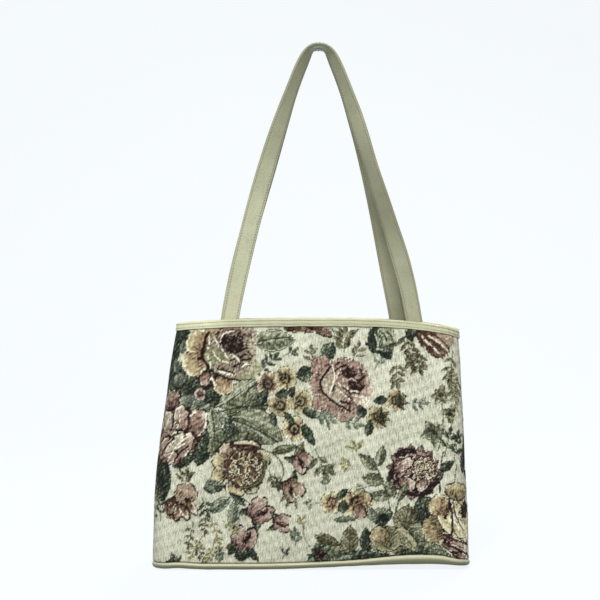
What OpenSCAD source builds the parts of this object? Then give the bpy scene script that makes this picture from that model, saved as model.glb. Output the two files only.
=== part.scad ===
// Carpet bag: a tote of woven tapestry with leather trim, in the shape it takes when it hangs by its straps.
// +X is to the right seen from the front, -Y is the front, +Z is up.
// The origin lies on the ground under the middle of the base.

/* [Body] */
// Width of the cloth across the base
base_w = 330; // [280:1:380]
// Depth of the cloth at the base
base_d = 92; // [76:1:130]
// Corner radius of the base in plan
base_r = 20; // [14:1:28]
// Width of the mouth at the rim
rim_w = 297; // [250:1:320]
// Depth of the mouth at its middle
rim_d = 66; // [56:1:84]
// Corner radius of the mouth before its ends are pinched
rim_r = 28; // [22:1:32]
// Share of the mouth's depth that is pinched in at its two ends
rim_pinch = 0.45; // [0:0.05:0.6]
// Height of the top of the rim at its middle
body_h = 259.5; // [200:0.5:320]
// How far the mouth hangs to the right of the base
rim_lean = 7.5; // [0:0.5:15]
// How far the left end of the rim hangs below its middle
droop_left = 5; // [0:0.5:18]
// How far the right end of the rim hangs below its middle
droop_right = 11.5; // [0:0.5:18]
// How far the front and the back belly out
belly = 5; // [0:0.5:12]
// How far the left side swells out
swell_left = 6; // [0:0.5:12]
// How far the right side swells out
swell_right = 1; // [0:0.5:12]

/* [Cloth] */
// Thickness of the tapestry
tapestry_t = 1.8; // [1:0.1:3]
// Thickness of the lining
lining_t = 0.8; // [0.5:0.1:1.5]

/* [Leather trim] */
// Thickness of the strip that binds the rim
binding_t = 1.2; // [0.8:0.1:2]
// Height of the binding on each side of the rim
binding_h = 7; // [5:0.5:16]
// Diameter of the piping round the base
piping_d = 7; // [4:0.5:10]
// How far the piping stands proud of the cloth above it
piping_proud = 1; // [0:0.25:2]
// Thickness of the leather under the base
base_t = 2; // [1.2:0.1:3]

/* [Straps] */
// Width of a strap
strap_w = 19; // [14:0.5:24]
// Thickness of a strap, two folded plies
strap_t = 3.4; // [2.4:0.1:5]
// Height of the top of the straps above the middle of the rim
strap_drop = 290; // [160:1:340]
// Distance between the two ends of the front strap
front_pitch = 193.5; // [140:0.5:205]
// Distance between the two ends of the back strap
back_pitch = 182.5; // [140:0.5:205]
// How far the front strap is sewn to the right of the mouth's middle, and the back one to the left
strap_shift = 4.5; // [0:0.5:8]
// Length of a strap's end that is sewn to the inside of the rim
strap_sewn = 30; // [16:1:60]
// How far the top of the straps lies to the right of the base's middle
hang_x = 8.5; // [-10:0.5:20]

/* [Fit] */
// Room between two layers that are sewn together
fit = 0.3; // [0.2:0.05:0.5]

/* [Hidden] */

leather_cream = "#c9c7a0";
leather_shade = "#bdbb95";
tapestry_ground = "#c6c3a6";
lining_cloth = "#a8a68c";

// Steps along the front, round a corner, down half a side, up the wall and along a strap
front_steps = 28;
corner_steps = 6;
side_steps = 3;
wall_steps = 12;
lining_steps = 6;
leg_steps = 22;
sewn_steps = 3;

// Heights of the base seam and of the cloth's top edge, and offsets of the layers
// outwards from the face of the tapestry
seam_z = piping_d + fit;
edge_z = body_h - binding_t - fit;
lining_out = -tapestry_t - fit;
lining_in = lining_out - lining_t;
binding_out = fit + binding_t;
binding_in = lining_in - fit;
strap_mid = binding_in - binding_t - fit - strap_t / 2;
piping_mid = piping_proud - piping_d / 2;
base_edge = piping_proud - piping_d - fit;

// A strap's leg, as shares of its reach and rise: how far its two ends pull the curve and how round
// its top is, where the two straps stop parting and where the strap starts to turn; then how slowly
// it turns, and its rounded edge
leg_reach = 0.84;
leg_rise = 0.33;
top_reach = 0.225;
top_round = 1.28;
part_start = 0.08;
part_end = 0.485;
turn_start = 0.2;
turn_ease = 1.2;
strap_edge = strap_t * 0.3;

// The swell of the body is fullest below its middle
swell_skew = 0.8;

function lerp(a, b, t) = a + (b - a) * t;
function smooth(t) = let (c = max(0, min(1, t))) c * c * (3 - 2 * c);
function unit(v) = v / norm(v);
function mean(list) = list * [for (v = list) 1] / len(list);
function without_last(list) = [for (i = [0 : len(list) - 2]) list[i]];
function bezier(a, b, c, d, u) =
    a * pow(1 - u, 3) + 3 * b * u * pow(1 - u, 2) + 3 * c * u * u * (1 - u) + d * pow(u, 3);

// A station is a place round the body: shares of the flat's half width and half depth, and an angle.
// The front half runs from the left seam round the front to the right seam.
function stations_front() = concat(
    [for (i = [0 : side_steps - 1]) [-1, -i / side_steps, 180]],
    [for (i = [0 : corner_steps - 1]) [-1, -1, 180 + 90 * i / corner_steps]],
    [for (i = [0 : front_steps - 1]) [2 * i / front_steps - 1, -1, 270]],
    [for (i = [0 : corner_steps - 1]) [1, -1, 270 + 90 * i / corner_steps]],
    [for (i = [0 : side_steps]) [1, i / side_steps - 1, 360]]);
function stations_back() = [for (s = stations_front()) [-s[0], -s[1], s[2] - 180]];
function stations_ring() = concat(without_last(stations_front()), without_last(stations_back()));

// Plan of the body at level t, from 0 at the base seam to 1 at the rim: a rounded rectangle
function half_w(t) = lerp(base_w, rim_w, t) / 2;
function half_d(t) = lerp(base_d, rim_d, t) / 2;
function corner(t) = lerp(min(base_r, base_d / 2), min(rim_r, rim_d / 2), t);
function across(s, t) = s[0] * (half_w(t) - corner(t)) + corner(t) * cos(s[2]);
function along(s, t) = s[1] * (half_d(t) - corner(t)) + corner(t) * sin(s[2]);

// Height of the cloth's top edge at a station
function rim_at(s) =
    let (share = across(s, 1) / half_w(1))
    edge_z - (share > 0 ? droop_right : droop_left) * pow(abs(share), 3);

// A point of the wall: station s, level t, offset outwards from the face of the tapestry.
// The rounded rectangle leans, swells and bellies, and its ends are pinched towards the rim.
function wall(s, t, off) =
    let (share = across(s, t) / half_w(t),
         wave = sin(180 * pow(max(0, min(1, t)), swell_skew)),
         swell = wave * pow(abs(share), 3) * (share < 0 ? -swell_left : swell_right),
         full = belly / half_d(t) * wave * (1 - share * share),
         pinch = rim_pinch * t * abs(t) * share * share)
    [across(s, t) + rim_lean * t + swell + off * cos(s[2]),
     along(s, t) * (1 + full - pinch) + off * sin(s[2]),
     lerp(seam_z, rim_at(s), t)];

// The same, at a height above the cloth's top edge
function wall_by_rim(s, rise, off) = wall(s, 1 + rise / (rim_at(s) - seam_z), off);

// The same, with the base's plan at height z
function wall_by_base(s, z, off) = let (p = wall(s, 0, off)) [p[0], p[1], z];

// Faces between each loop of n points and the next one
function loop_faces(loops, n) =
    [for (r = [0 : loops - 2], c = [0 : n - 1])
        let (a = r * n + c, b = r * n + (c + 1) % n)
        each [[a, b, a + n], [b, b + n, a + n]]];

// A solid through loops of points, with its first and last loop capped
module skin_capped(loops) {
    n = len(loops[0]);
    last = (len(loops) - 1) * n;
    polyhedron([for (l = loops) each l], concat(
        loop_faces(len(loops), n),
        [[for (i = [n - 1 : -1 : 0]) i]],
        [[for (i = [0 : n - 1]) last + i]]));
}

// The same, with each cap a fan round the middle of its loop
module skin_fanned(loops) {
    n = len(loops[0]);
    last = (len(loops) - 1) * n;
    total = last + n;
    middle = [for (l = [loops[0], loops[len(loops) - 1]]) [for (k = [0 : 2]) mean([for (p = l) p[k]])]];
    polyhedron(concat([for (l = loops) each l], middle), concat(
        loop_faces(len(loops), n),
        [for (i = [0 : n - 1]) [total, (i + 1) % n, i]],
        [for (i = [0 : n - 1]) [total + 1, last + i, last + (i + 1) % n]]));
}

// A solid through loops of points that follow each other all the way round
module skin_round(loops) {
    n = len(loops[0]);
    total = len(loops) * n;
    polyhedron([for (l = loops) each l],
        [for (f = loop_faces(len(loops) + 1, n)) [for (i = f) i % total]]);
}

// One half of the tapestry body, from a side seam to the other
module panel(stations) {
    skin_capped([for (s = stations) concat(
        [for (k = [wall_steps : -1 : 0]) wall(s, k / wall_steps, 0)],
        [for (k = [0 : wall_steps]) wall(s, k / wall_steps, -tapestry_t)])]);
}

module front_panel() { color(tapestry_ground) panel(stations_front()); }

module back_panel() { color(tapestry_ground) panel(stations_back()); }

// A rounded rectangle in plan, at an offset from the cloth's outline at the base
module base_outline(off) {
    r = corner(0);
    square([base_w - 2 * r, base_d + 2 * off], center = true);
    square([base_w + 2 * off, base_d - 2 * r], center = true);
    for (x = [-1, 1], y = [-1, 1])
        translate([x * (base_w / 2 - r), y * (base_d / 2 - r)]) circle(r + off, $fn = 64);
}

module base_panel() {
    color(leather_shade) linear_extrude(base_t) base_outline(base_edge);
}

// Piping: a cord in folded leather, straight along the sides and turned round the corners
module base_piping() {
    r = corner(0);
    color(leather_cream) translate([0, 0, piping_d / 2]) {
        for (side = [-1, 1]) {
            translate([0, side * (base_d / 2 + piping_mid), 0]) rotate([0, 90, 0])
                cylinder(h = base_w - 2 * r, d = piping_d, center = true, $fn = 48);
            translate([side * (base_w / 2 + piping_mid), 0, 0]) rotate([90, 0, 0])
                cylinder(h = base_d - 2 * r, d = piping_d, center = true, $fn = 48);
        }
        for (turn = [0 : 3]) {
            x = (turn == 0 || turn == 3 ? 1 : -1) * (base_w / 2 - r);
            y = (turn < 2 ? 1 : -1) * (base_d / 2 - r);
            translate([x, y, 0]) rotate([0, 0, 90 * turn])
                rotate_extrude(angle = 90, $fn = 64) translate([r + piping_mid, 0]) circle(d = piping_d, $fn = 48);
        }
    }
}

// Binding: one strip folded over the edges of the tapestry and the lining
module rim_binding() {
    top = fit + binding_t;
    crown = binding_t / 2;
    section = [
        [binding_out, -binding_h], [fit, -binding_h], [fit, fit], [binding_in, fit],
        [binding_in, -binding_h], [binding_in - binding_t, -binding_h],
        [binding_in - binding_t, top - crown], [binding_in - binding_t + crown, top],
        [binding_out - crown, top], [binding_out, top - crown]];
    color(leather_cream) skin_round([for (s = stations_ring())
        [for (p = section) wall_by_rim(s, p[1], p[0])]]);
}

// Lining: a sack that steps in over the piping and lies on the base
module lining() {
    ring = stations_ring();
    floor_z = base_t + fit;
    color(lining_cloth) skin_fanned(concat(
        [[for (s = ring) wall_by_base(s, floor_z, base_edge)]],
        [[for (s = ring) wall_by_base(s, seam_z, base_edge)]],
        [for (k = [0 : lining_steps]) [for (s = ring) wall(s, k / lining_steps, lining_out)]],
        [for (k = [lining_steps : -1 : 1]) [for (s = ring) wall(s, k / lining_steps, lining_in)]],
        [[for (s = ring) wall_by_base(s, seam_z + lining_t, lining_in)]],
        [[for (s = ring) wall_by_base(s, seam_z + lining_t, base_edge - lining_t)]],
        [[for (s = ring) wall_by_base(s, floor_z + lining_t, base_edge - lining_t)]]));
}

// Middle line of a strap's leg, from the rim at u = 0 to the top at u = 1.
// end is -1 for the left leg and 1 for the right one. Both straps follow one arch near
// the top, and part towards the rim to where each is sewn.
function strap_station(centre, pitch, end) =
    [(centre + end * pitch / 2) / (half_w(1) - corner(1)), -1, 270];
function leg_point(centre, pitch, end, u) =
    let (p = wall_by_rim(strap_station(centre, pitch, end), 0, strap_mid),
         reach = end * (front_pitch + back_pitch) / 4,
         top = body_h + strap_drop - strap_t / 2,
         arch = bezier(reach, reach * leg_reach, reach * top_reach, 0, u)
              + reach * top_round * pow(u, 8) * (1 - u),
         parting = 1 - smooth((u - part_start) / (part_end - part_start)))
    [hang_x + arch + (p[0] - hang_x - reach) * parting,
     lerp(p[1], -strap_w / 2 - fit / 2, u),
     bezier(p[2], lerp(p[2], top, leg_rise), top, top, u)];

// A cross-section of the strap at point p: rises along way, and its inner face turns from
// the front at turn = 0 to the inside of the loop at turn = 90
function strap_loop(p, way, front, end, turn) =
    let (face = unit(front - way * (front * way)),
         inside = -end * cross(way, face),
         normal = face * cos(turn) + inside * sin(turn),
         across = face * sin(turn) - inside * cos(turn),
         a = strap_w / 2,
         b = strap_t / 2,
         e = strap_edge)
    [for (q = [[a, e - b], [a, b - e], [a - e, b], [e - a, b], [-a, b - e], [-a, e - b], [e - a, -b], [a - e, -b]])
        p + across * q[0] + normal * q[1]];

// Loops of one leg, from its sewn end up to the top
function leg_loops(centre, pitch, end) =
    let (s = strap_station(centre, pitch, end),
         next = [s[0] + 0.01, s[1], s[2]],
         along_rim = wall_by_rim(next, 0, strap_mid) - wall_by_rim(s, 0, strap_mid),
         outwards = unit([along_rim[1], -along_rim[0], 0]),
         du = 0.001)
    concat(
        [for (k = [0 : sewn_steps - 1])
            let (rise = -strap_sewn * (1 - k / sewn_steps),
                 p = wall_by_rim(s, rise, strap_mid))
            strap_loop(p, unit(wall_by_rim(s, rise + 1, strap_mid) - p), outwards, end, 0)],
        [for (k = [0 : leg_steps])
            let (u = k / leg_steps,
                 v = min(u, 1 - du),
                 way = unit(leg_point(centre, pitch, end, v + du) - leg_point(centre, pitch, end, v)),
                 front = unit(lerp(outwards, [0, -1, 0], smooth(u / turn_start))))
            strap_loop(leg_point(centre, pitch, end, u), way, front, end,
                       90 * pow(smooth((u - turn_start) / (1 - turn_start)), turn_ease))]);

// A strap of the front rim, from its left end over the top to its right end
module strap(centre, pitch) {
    right = without_last(leg_loops(centre, pitch, 1));
    skin_capped(concat(leg_loops(centre, pitch, -1),
        [for (k = [len(right) - 1 : -1 : 0]) right[k]]));
}

module front_strap() { color(leather_cream) strap(strap_shift, front_pitch); }

module back_strap() { color(leather_shade) mirror([0, 1, 0]) strap(-strap_shift, back_pitch); }

front_panel();
back_panel();
base_panel();
base_piping();
rim_binding();
lining();
front_strap();
back_strap();
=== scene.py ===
# %% [markdown]
# A tapestry tote with leather trim
#
# The bag is a soft sack of floral tapestry. A folded leather strip binds its rim, leather piping runs
# round its base, and two stitched leather straps hold it up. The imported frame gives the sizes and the
# place of every piece. This lesson dresses that frame: each piece becomes a smooth surface worked out
# with numpy, with a finish made of shader nodes.

import bpy
import numpy as np
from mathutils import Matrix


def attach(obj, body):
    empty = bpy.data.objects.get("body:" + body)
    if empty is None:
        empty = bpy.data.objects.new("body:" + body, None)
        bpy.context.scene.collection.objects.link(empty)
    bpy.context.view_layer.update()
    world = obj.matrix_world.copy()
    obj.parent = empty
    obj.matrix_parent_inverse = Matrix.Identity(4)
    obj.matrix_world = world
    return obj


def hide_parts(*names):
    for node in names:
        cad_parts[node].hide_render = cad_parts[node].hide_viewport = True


MM = 0.001
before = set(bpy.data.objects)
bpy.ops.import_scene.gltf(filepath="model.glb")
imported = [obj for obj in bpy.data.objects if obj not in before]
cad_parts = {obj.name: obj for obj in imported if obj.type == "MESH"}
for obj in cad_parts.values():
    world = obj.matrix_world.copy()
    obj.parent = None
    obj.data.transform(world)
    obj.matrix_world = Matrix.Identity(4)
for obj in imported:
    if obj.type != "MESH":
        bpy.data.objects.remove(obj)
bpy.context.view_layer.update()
print("frame pieces:", ", ".join(sorted(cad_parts)))

# %% [markdown]
# The camera comes first, because every comparison with the photograph needs it. The photograph looks
# level at the bag from the front, from far enough away that the sides hardly show. A camera in Blender
# looks down its own Z axis, so a quarter turn about X makes it look level along Y.

# %% Camera
LENS, SENSOR = 84.6, 36
CAMERA_X, CAMERA_Y, CAMERA_Z = -11.5, -1500, 278.5

camera_data = bpy.data.cameras.new("camera")
camera_data.lens = LENS
camera_data.sensor_width = SENSOR
camera = bpy.data.objects.new("camera", camera_data)
camera.location = (CAMERA_X * MM, CAMERA_Y * MM, CAMERA_Z * MM)
camera.rotation_euler = (np.pi / 2, 0, 0)
bpy.context.scene.collection.objects.link(camera)
bpy.context.scene.camera = camera
print("camera", tuple(round(c, 4) for c in camera.location))

# %% [markdown]
# The body is a sewn sack that keeps the shape of its seams. It could be sculpted, or blown up as simulated
# cloth, but every layer of it, from the tapestry to the lining, has to follow the same wall without cutting
# through its neighbour. So the wall is one formula, and each layer is an offset from it. A station says
# where we are round the bag: shares of the half width and half depth, and the direction that the wall
# faces. A level runs from 0 at the base seam to 1 at the rim. The plan is a rounded rectangle that leans,
# swells and bellies, and its ends are pinched towards the rim. The sizes repeat those of the frame, in
# millimetres. The soft folds and the bowed base are added to them here.

# %% The wall of the body
BASE_W, BASE_D, BASE_R = 330, 92, 20
RIM_W, RIM_D, RIM_R = 297, 66, 28
RIM_PINCH, RIM_LEAN, BODY_H = 0.45, 7.5, 259.5
DROOP_LEFT, DROOP_RIGHT = 5, 11.5
BELLY, SWELL_LEFT, SWELL_RIGHT, SWELL_SKEW = 5, 6, 1, 0.8
TAPESTRY_T, LINING_T, BINDING_T, STRAP_T = 1.8, 0.8, 1.2, 3.4
BINDING_H, PIPING_D, PIPING_PROUD, BASE_T, FIT = 7, 7, 1, 2, 0.3
BACK_LEVEL, END_DROP = 2.5, 2
BOW_RIGHT, BOW_END, BOW_LEFT, BOW_DEPTH = 5.6, 2.3, 1.4, 40
SEAM_RISE = 3.8
SLACK, GATHER = 1.0, 0.22

SEAM_Z = PIPING_D + FIT
EDGE_Z = BODY_H - BINDING_T - FIT
LINING_OUT = -TAPESTRY_T - FIT
LINING_IN = LINING_OUT - LINING_T
BINDING_OUT = FIT + BINDING_T
BINDING_IN = LINING_IN - FIT
STRAP_MID = BINDING_IN - BINDING_T - FIT - STRAP_T / 2
PIPING_MID = PIPING_PROUD - PIPING_D / 2
BASE_EDGE = PIPING_PROUD - PIPING_D - FIT


def lerp(a, b, t):
    """From a at t = 0 to b at t = 1."""
    return a + (b - a) * t


def smooth(t):
    """From 0 to 1, with a soft start and end."""
    c = np.clip(t, 0, 1)
    return c * c * (3 - 2 * c)


def held_between(t, start, ease_in, end, ease_out, height):
    """Rises to height from start on and falls back to 0 from end on, each over its own soft ramp."""
    return height * smooth((t - start) / ease_in) * (1 - smooth((t - end) / ease_out))


def waves(x, z, size, seed):
    """Smooth noise of about -1 to 1: seven sine waves with drawn directions, lengths and phases."""
    draw = np.random.default_rng(seed)
    total = np.zeros(np.broadcast(x, z).shape)
    for _ in range(7):
        way = draw.uniform(0, 2 * np.pi)
        turns = 2 * np.pi / size * draw.uniform(0.6, 1.7)
        total += np.sin((x * np.cos(way) + z * np.sin(way)) * turns + draw.uniform(0, 2 * np.pi))
    return total / 3


def front_stations(side, corner, front):
    """Stations from the left seam round the front to the right seam, with steps for each stretch."""
    s, c, f = (np.arange(n) / n for n in (side, corner, front))
    u = np.concatenate([-np.ones(side + corner), 2 * f - 1, np.ones(corner + side + 1)])
    v = np.concatenate([-s, -np.ones(2 * corner + front), s - 1, [0]])
    left = [np.full(side, 180), 180 + 90 * c]
    right = [np.full(front, 270), 270 + 90 * c, np.full(side + 1, 360)]
    return np.stack([u, v, np.radians(np.concatenate(left + right))])


def back_stations(side, corner, front):
    """The front's stations, turned half round the bag."""
    u, v, turn = front_stations(side, corner, front)
    return np.stack([-u, -v, turn - np.pi])


def ring_stations(side, corner, front):
    """Stations all the way round, with no place twice."""
    steps = (side, corner, front)
    return np.concatenate([front_stations(*steps)[:, :-1], back_stations(*steps)[:, :-1]], axis=1)


def facing_at(s):
    """The level direction that the wall faces at each station."""
    return np.stack([np.cos(s[2]), np.sin(s[2]), 0 * s[2]], -1)


def around_bag(x, y):
    """One number that grows round the bag, for waves that run on past its corners."""
    return x + 1.7 * y


def plan(s, t):
    """Half width and half depth of the rounded rectangle at level t, and the places across and along."""
    half_w = lerp(BASE_W, RIM_W, t) / 2
    half_d = lerp(BASE_D, RIM_D, t) / 2
    corner = lerp(BASE_R, RIM_R, t)
    across = s[0] * (half_w - corner) + corner * np.cos(s[2])
    along = s[1] * (half_d - corner) + corner * np.sin(s[2])
    return half_w, half_d, across, along


def rim_at(s):
    """Height of the cloth's top edge: it hangs lower towards both ends, less so at the back's right end."""
    half_w, _, across, _ = plan(s, 1)
    share = np.abs(across / half_w)
    back = np.clip(s[1], 0, 1)
    droop = np.where(across > 0, DROOP_RIGHT - BACK_LEVEL * back, DROOP_LEFT) * share ** 3
    return EDGE_Z - droop - END_DROP * (across > 0) * share ** 24


def front_share(y):
    """From 0 at the middle of the base to 1 near its front edge."""
    return np.clip(-y / BOW_DEPTH, 0, 1) ** 1.5


def base_lift(x, y):
    """How far the front of the soft base bows up: most at the right, and a little at the left end."""
    right = BOW_RIGHT * smooth((x + 60) / 175)
    right_end = BOW_END * smooth((x - 132) / 30)
    left = BOW_LEFT * np.exp(-((x + 138) / 16) ** 2)
    return (right - right_end + left) * front_share(y)


def seam_rise(x, y):
    """How far the seam above the piping is drawn up, near the right end of the front."""
    return held_between(x, 35, 75, 120, 44, SEAM_RISE) * front_share(y)


def slack(x, y, z, t):
    """Soft hollows and swells of the cloth, and small gathers where it is sewn to rim and base."""
    held = np.sin(np.pi * np.clip(t, 0, 1)) ** 0.7
    around = around_bag(x, y)
    gathers = np.sin(around * 0.52 + waves(around, z * 0, 60, 12))
    near_seams = np.exp(-((1 - t) / 0.09) ** 2) + np.exp(-(t / 0.08) ** 2)
    return SLACK * held * waves(around, z, 110, 11) + GATHER * near_seams * gathers


def wall(s, t, off, loose=1.0):
    """The wall at stations s and levels t, off millimetres outwards from the tapestry's face."""
    half_w, half_d, across, along = plan(s, t)
    share = across / half_w
    wave = np.sin(np.pi * np.clip(t, 0, 1) ** SWELL_SKEW)
    swell = wave * np.abs(share) ** 3 * np.where(share < 0, -SWELL_LEFT, SWELL_RIGHT)
    full = BELLY / half_d * wave * (1 - share ** 2)
    pinch = RIM_PINCH * t * np.abs(t) * share ** 2
    x = across + RIM_LEAN * t + swell
    y = along * (1 + full - pinch)
    z = lerp(SEAM_Z + base_lift(x, y) + seam_rise(x, y), rim_at(s), t)
    out = off + loose * slack(x, y, z, t)
    return np.stack(np.broadcast_arrays(x + out * np.cos(s[2]), y + out * np.sin(s[2]), z), -1)


def wall_by_rim(s, rise, off):
    """The wall at a height above the cloth's top edge."""
    return wall(s, 1 + rise / (rim_at(s) - SEAM_Z), off)


def wall_by_base(s, z, off, share=1.0):
    """The outline of the base at height z, drawn in to a share of its size, and bowed up with the base."""
    x, y, _ = np.moveaxis(wall(s, 0, off, 0) * share, -1, 0)
    return np.stack([x, y, z + base_lift(x, y) + seam_rise(x, y) * z / SEAM_Z], -1)


print("rim from", rim_at(ring_stations(2, 6, 8)).min().round(1), "to", EDGE_Z, "mm high")

# %% [markdown]
# Every surface here is a grid of points or a profile carried along a path, so no vertex is placed by hand.
# One helper makes the faces between neighbouring points, one adds caps, and one puts points and faces into
# a mesh with its finish. A closed mesh has a volume, and its sign tells whether the faces point outwards,
# so the helper turns them round where they do not.

# %% Meshes
def grid_faces(rows, columns, round_rows=False, round_columns=False):
    """Four-sided faces between neighbouring points of a grid, joined up where it goes round."""
    r = np.arange(rows if round_rows else rows - 1)[:, None]
    c = np.arange(columns if round_columns else columns - 1)
    corners = [(r, c), (r, c + 1), (r + 1, c + 1), (r + 1, c)]
    return np.stack([(i % rows) * columns + j % columns for i, j in corners], -1).reshape(-1, 4)


def capped_faces(rows, columns):
    """Faces of loops in a row, each loop joined to the next, with a cap on the first and on the last."""
    last = (rows - 1) * columns
    caps = [list(range(columns))[::-1], list(range(last, last + columns))]
    return [*grid_faces(rows, columns, round_columns=True), *caps]


def length_along(line):
    """How far each point of a line lies from its start, measured along it."""
    return np.concatenate([[0], np.cumsum(np.linalg.norm(np.diff(line, axis=0), axis=1))])


def unit(v):
    """Each vector at length 1."""
    return v / np.linalg.norm(v, axis=-1)[..., None]


def put_mesh(name, points, faces, finish, uv=None, values=None):
    """A mesh object at the origin from points in millimetres, with a UV map and values at its points.

    Each of the values has one number for every point, or three for a colour.
    """
    points = np.reshape(points, (-1, 3)) * MM
    sizes = np.array([len(f) for f in faces])
    first = np.array([f[0] for f in faces])
    starts = np.concatenate([[0], np.cumsum(sizes)[:-1]])
    flat = np.concatenate([np.asarray(f) for f in faces])
    after = np.arange(len(flat)) + 1
    after[starts + sizes - 1] = starts
    apex = np.repeat(first, sizes)
    volume = np.einsum("ij,ij->i", points[apex], np.cross(points[flat], points[flat[after]])).sum() / 6
    mesh = bpy.data.meshes.new(name)
    mesh.from_pydata(points.tolist(), [], [list(f)[::-1] if volume < 0 else list(f) for f in faces])
    mesh.polygons.foreach_set("use_smooth", np.ones(len(faces), bool))
    corner_point = np.empty(len(mesh.loops), int)
    mesh.loops.foreach_get("vertex_index", corner_point)
    if uv is not None:
        layer = mesh.uv_layers.new(name="cloth")
        layer.data.foreach_set("uv", np.reshape(uv, (-1, 2))[corner_point].astype(np.float32).ravel())
    for key, value in (values or {}).items():
        if np.size(value) == 3 * len(points):
            four = np.concatenate([value, np.ones((len(points), 1))], 1)
            layer = mesh.attributes.new(key, "FLOAT_COLOR", "POINT")
            layer.data.foreach_set("color", four.astype(np.float32).ravel())
        else:
            layer = mesh.attributes.new(key, "FLOAT", "POINT")
            layer.data.foreach_set("value", np.ravel(value).astype(np.float32))
    mesh.materials.append(finish)
    piece = bpy.data.objects.new(name, mesh)
    bpy.context.scene.collection.objects.link(piece)
    mesh.calc_loop_triangles()
    print(f"{name}: {len(mesh.loop_triangles)} triangles, volume {abs(volume) * 1e6:.1f} ml")
    return piece


print("a grid of 3 by 4 points has", len(grid_faces(3, 4)), "faces")

# %% [markdown]
# The tapestry is a jacquard: its picture is woven from a few dyed yarns. An image laid over the cloth would
# be the usual way, but a design drawn in code needs no file, stays sharp and runs on round the bag. The
# painter works as a loom does. It keeps one colour for every point of the cloth, and each motif picks a
# yarn for its points from a row that runs from dark to light. Flecks of chance choose between neighbouring
# yarns, as the dither of a loom does. All places and sizes are millimetres on the flat cloth: across from
# the middle of the front, and up.

# %% Yarns and cloth
REPEAT = 372
DESIGN_RISE = 3.5
DYES = {
    "mauve": [(40, 30, 28), (80, 66, 56), (124, 110, 95), (155, 143, 124), (178, 169, 149),
              (202, 197, 176), (231, 231, 212)],
    "dusty": [(43, 30, 28), (84, 64, 57), (127, 104, 93), (154, 132, 118), (176, 157, 142),
              (202, 191, 173), (231, 228, 209)],
    "gold": [(46, 34, 28), (90, 72, 58), (136, 114, 91), (161, 140, 110), (179, 168, 130),
             (198, 194, 156), (226, 227, 199)],
    "rust": [(46, 32, 27), (86, 67, 55), (123, 104, 87), (149, 132, 113), (175, 159, 138), (218, 212, 190)],
    "plum": [(40, 26, 30), (74, 54, 54), (111, 88, 83), (143, 121, 112), (181, 166, 150), (218, 211, 190)],
    "amber": [(46, 40, 29), (92, 82, 60), (132, 119, 90), (160, 148, 115),
              (182, 174, 138), (207, 205, 171)],
    "wine": [(42, 25, 27), (84, 59, 55), (128, 105, 97), (156, 135, 124), (177, 159, 146), (204, 192, 175)],
    "night": [(32, 36, 30), (50, 57, 47), (72, 80, 67), (98, 106, 90), (134, 142, 120), (180, 188, 164)],
    "green": [(46, 50, 40), (76, 81, 65), (104, 108, 87), (128, 131, 106),
              (154, 157, 130), (188, 192, 166)],
    "olive": [(46, 46, 36), (78, 77, 58), (106, 104, 80), (132, 130, 102),
              (158, 156, 126), (190, 190, 160)],
    "sage": [(60, 68, 58), (94, 103, 88), (124, 132, 113), (154, 161, 140), (190, 197, 176)],
    "straw": [(98, 95, 68), (138, 135, 101), (171, 169, 131), (200, 199, 162)],
    "ground": [(136, 138, 118), (165, 167, 146), (189, 191, 170), (205, 207, 187), (220, 221, 204)],
}
CONTRAST, FADED, DARKEST = 1.17, 0.14, 0.06
FADED_HUE = [1.03, 1.02, 0.95]


def dyed(row):
    """A row of yarns as light from 0 to 1: dark and light pulled apart, and the hue a little faded."""
    strong = np.clip(0.5 + CONTRAST * (np.array(row) / 255 - 0.5), DARKEST, 1)
    return lerp(strong, strong.mean(1)[:, None] * FADED_HUE, FADED)


YARNS = {name: dyed(row) for name, row in DYES.items()}


class Cloth:
    """Points of the flat cloth, with the colour woven at each and how far the weave stands up there."""

    def __init__(self, x, z, seed=5):
        draw = np.random.default_rng(seed)
        self.x = x
        self.z = z
        self.fleck = draw.uniform(-0.5, 0.5, len(x))
        self.ragged = waves(x, z, 5, 1) + 0.45 * draw.uniform(-1, 1, len(x))
        self.patch = waves(x, z, 13, 3)
        self.colour = np.zeros((len(x), 3))
        self.raised = np.zeros(len(x))
        dashes = waves(4.5 * x, 0.9 * z, 9, 2) + 0.7 * draw.uniform(-1, 1, len(x))
        self.weave(np.arange(len(x)), 0.52 + 0.28 * dashes + 0.07 * waves(x, z, 70, 4), "ground", 0)

    def local(self, at, turn, reach):
        """Points near a place, and where they lie along and across a direction there."""
        dx = (self.x - at[0] + REPEAT / 2) % REPEAT - REPEAT / 2
        dz = self.z - at[1]
        near = np.flatnonzero((np.abs(dx) < reach) & (np.abs(dz) < reach))
        c, s = np.cos(np.radians(turn)), np.sin(np.radians(turn))
        return near, dx[near] * c + dz[near] * s, dz[near] * c - dx[near] * s

    def weave(self, points, tone, yarns, lift=1.0):
        """Weaves the yarn of a tone, 0 dark to 1 light, at points."""
        row = YARNS[yarns]
        last = len(row) - 1
        pick = np.rint(tone * last + (0.9 + 0.7 * lift) * self.fleck[points])
        self.colour[points] = row[np.clip(pick, 0, last).astype(int)]
        self.raised[points] = lift


def away(at, turn, by):
    """The place that lies by millimetres from at, in the direction turn."""
    return at[0] + by * np.cos(np.radians(turn)), at[1] + by * np.sin(np.radians(turn))


def streaks(along, across):
    """Fine lines that run along a motif, about -1 to 1."""
    return waves(0.2 * along, across, 2.9, 7)


print("yarn rows:", ", ".join(YARNS))

# %% [markdown]
# Few kinds of motif make the whole design. A petal is broad towards its tip, with a pale edge and dark
# cracks at its root. A crescent is a petal seen from the side, curled round the heart of a rose. A leaf is
# a lens with a midrib and veins, and a stem is a bowed line. Each motif works out how far every point near
# it lies inside its outline, so that it is drawn as finely as the cloth is woven.

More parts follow.
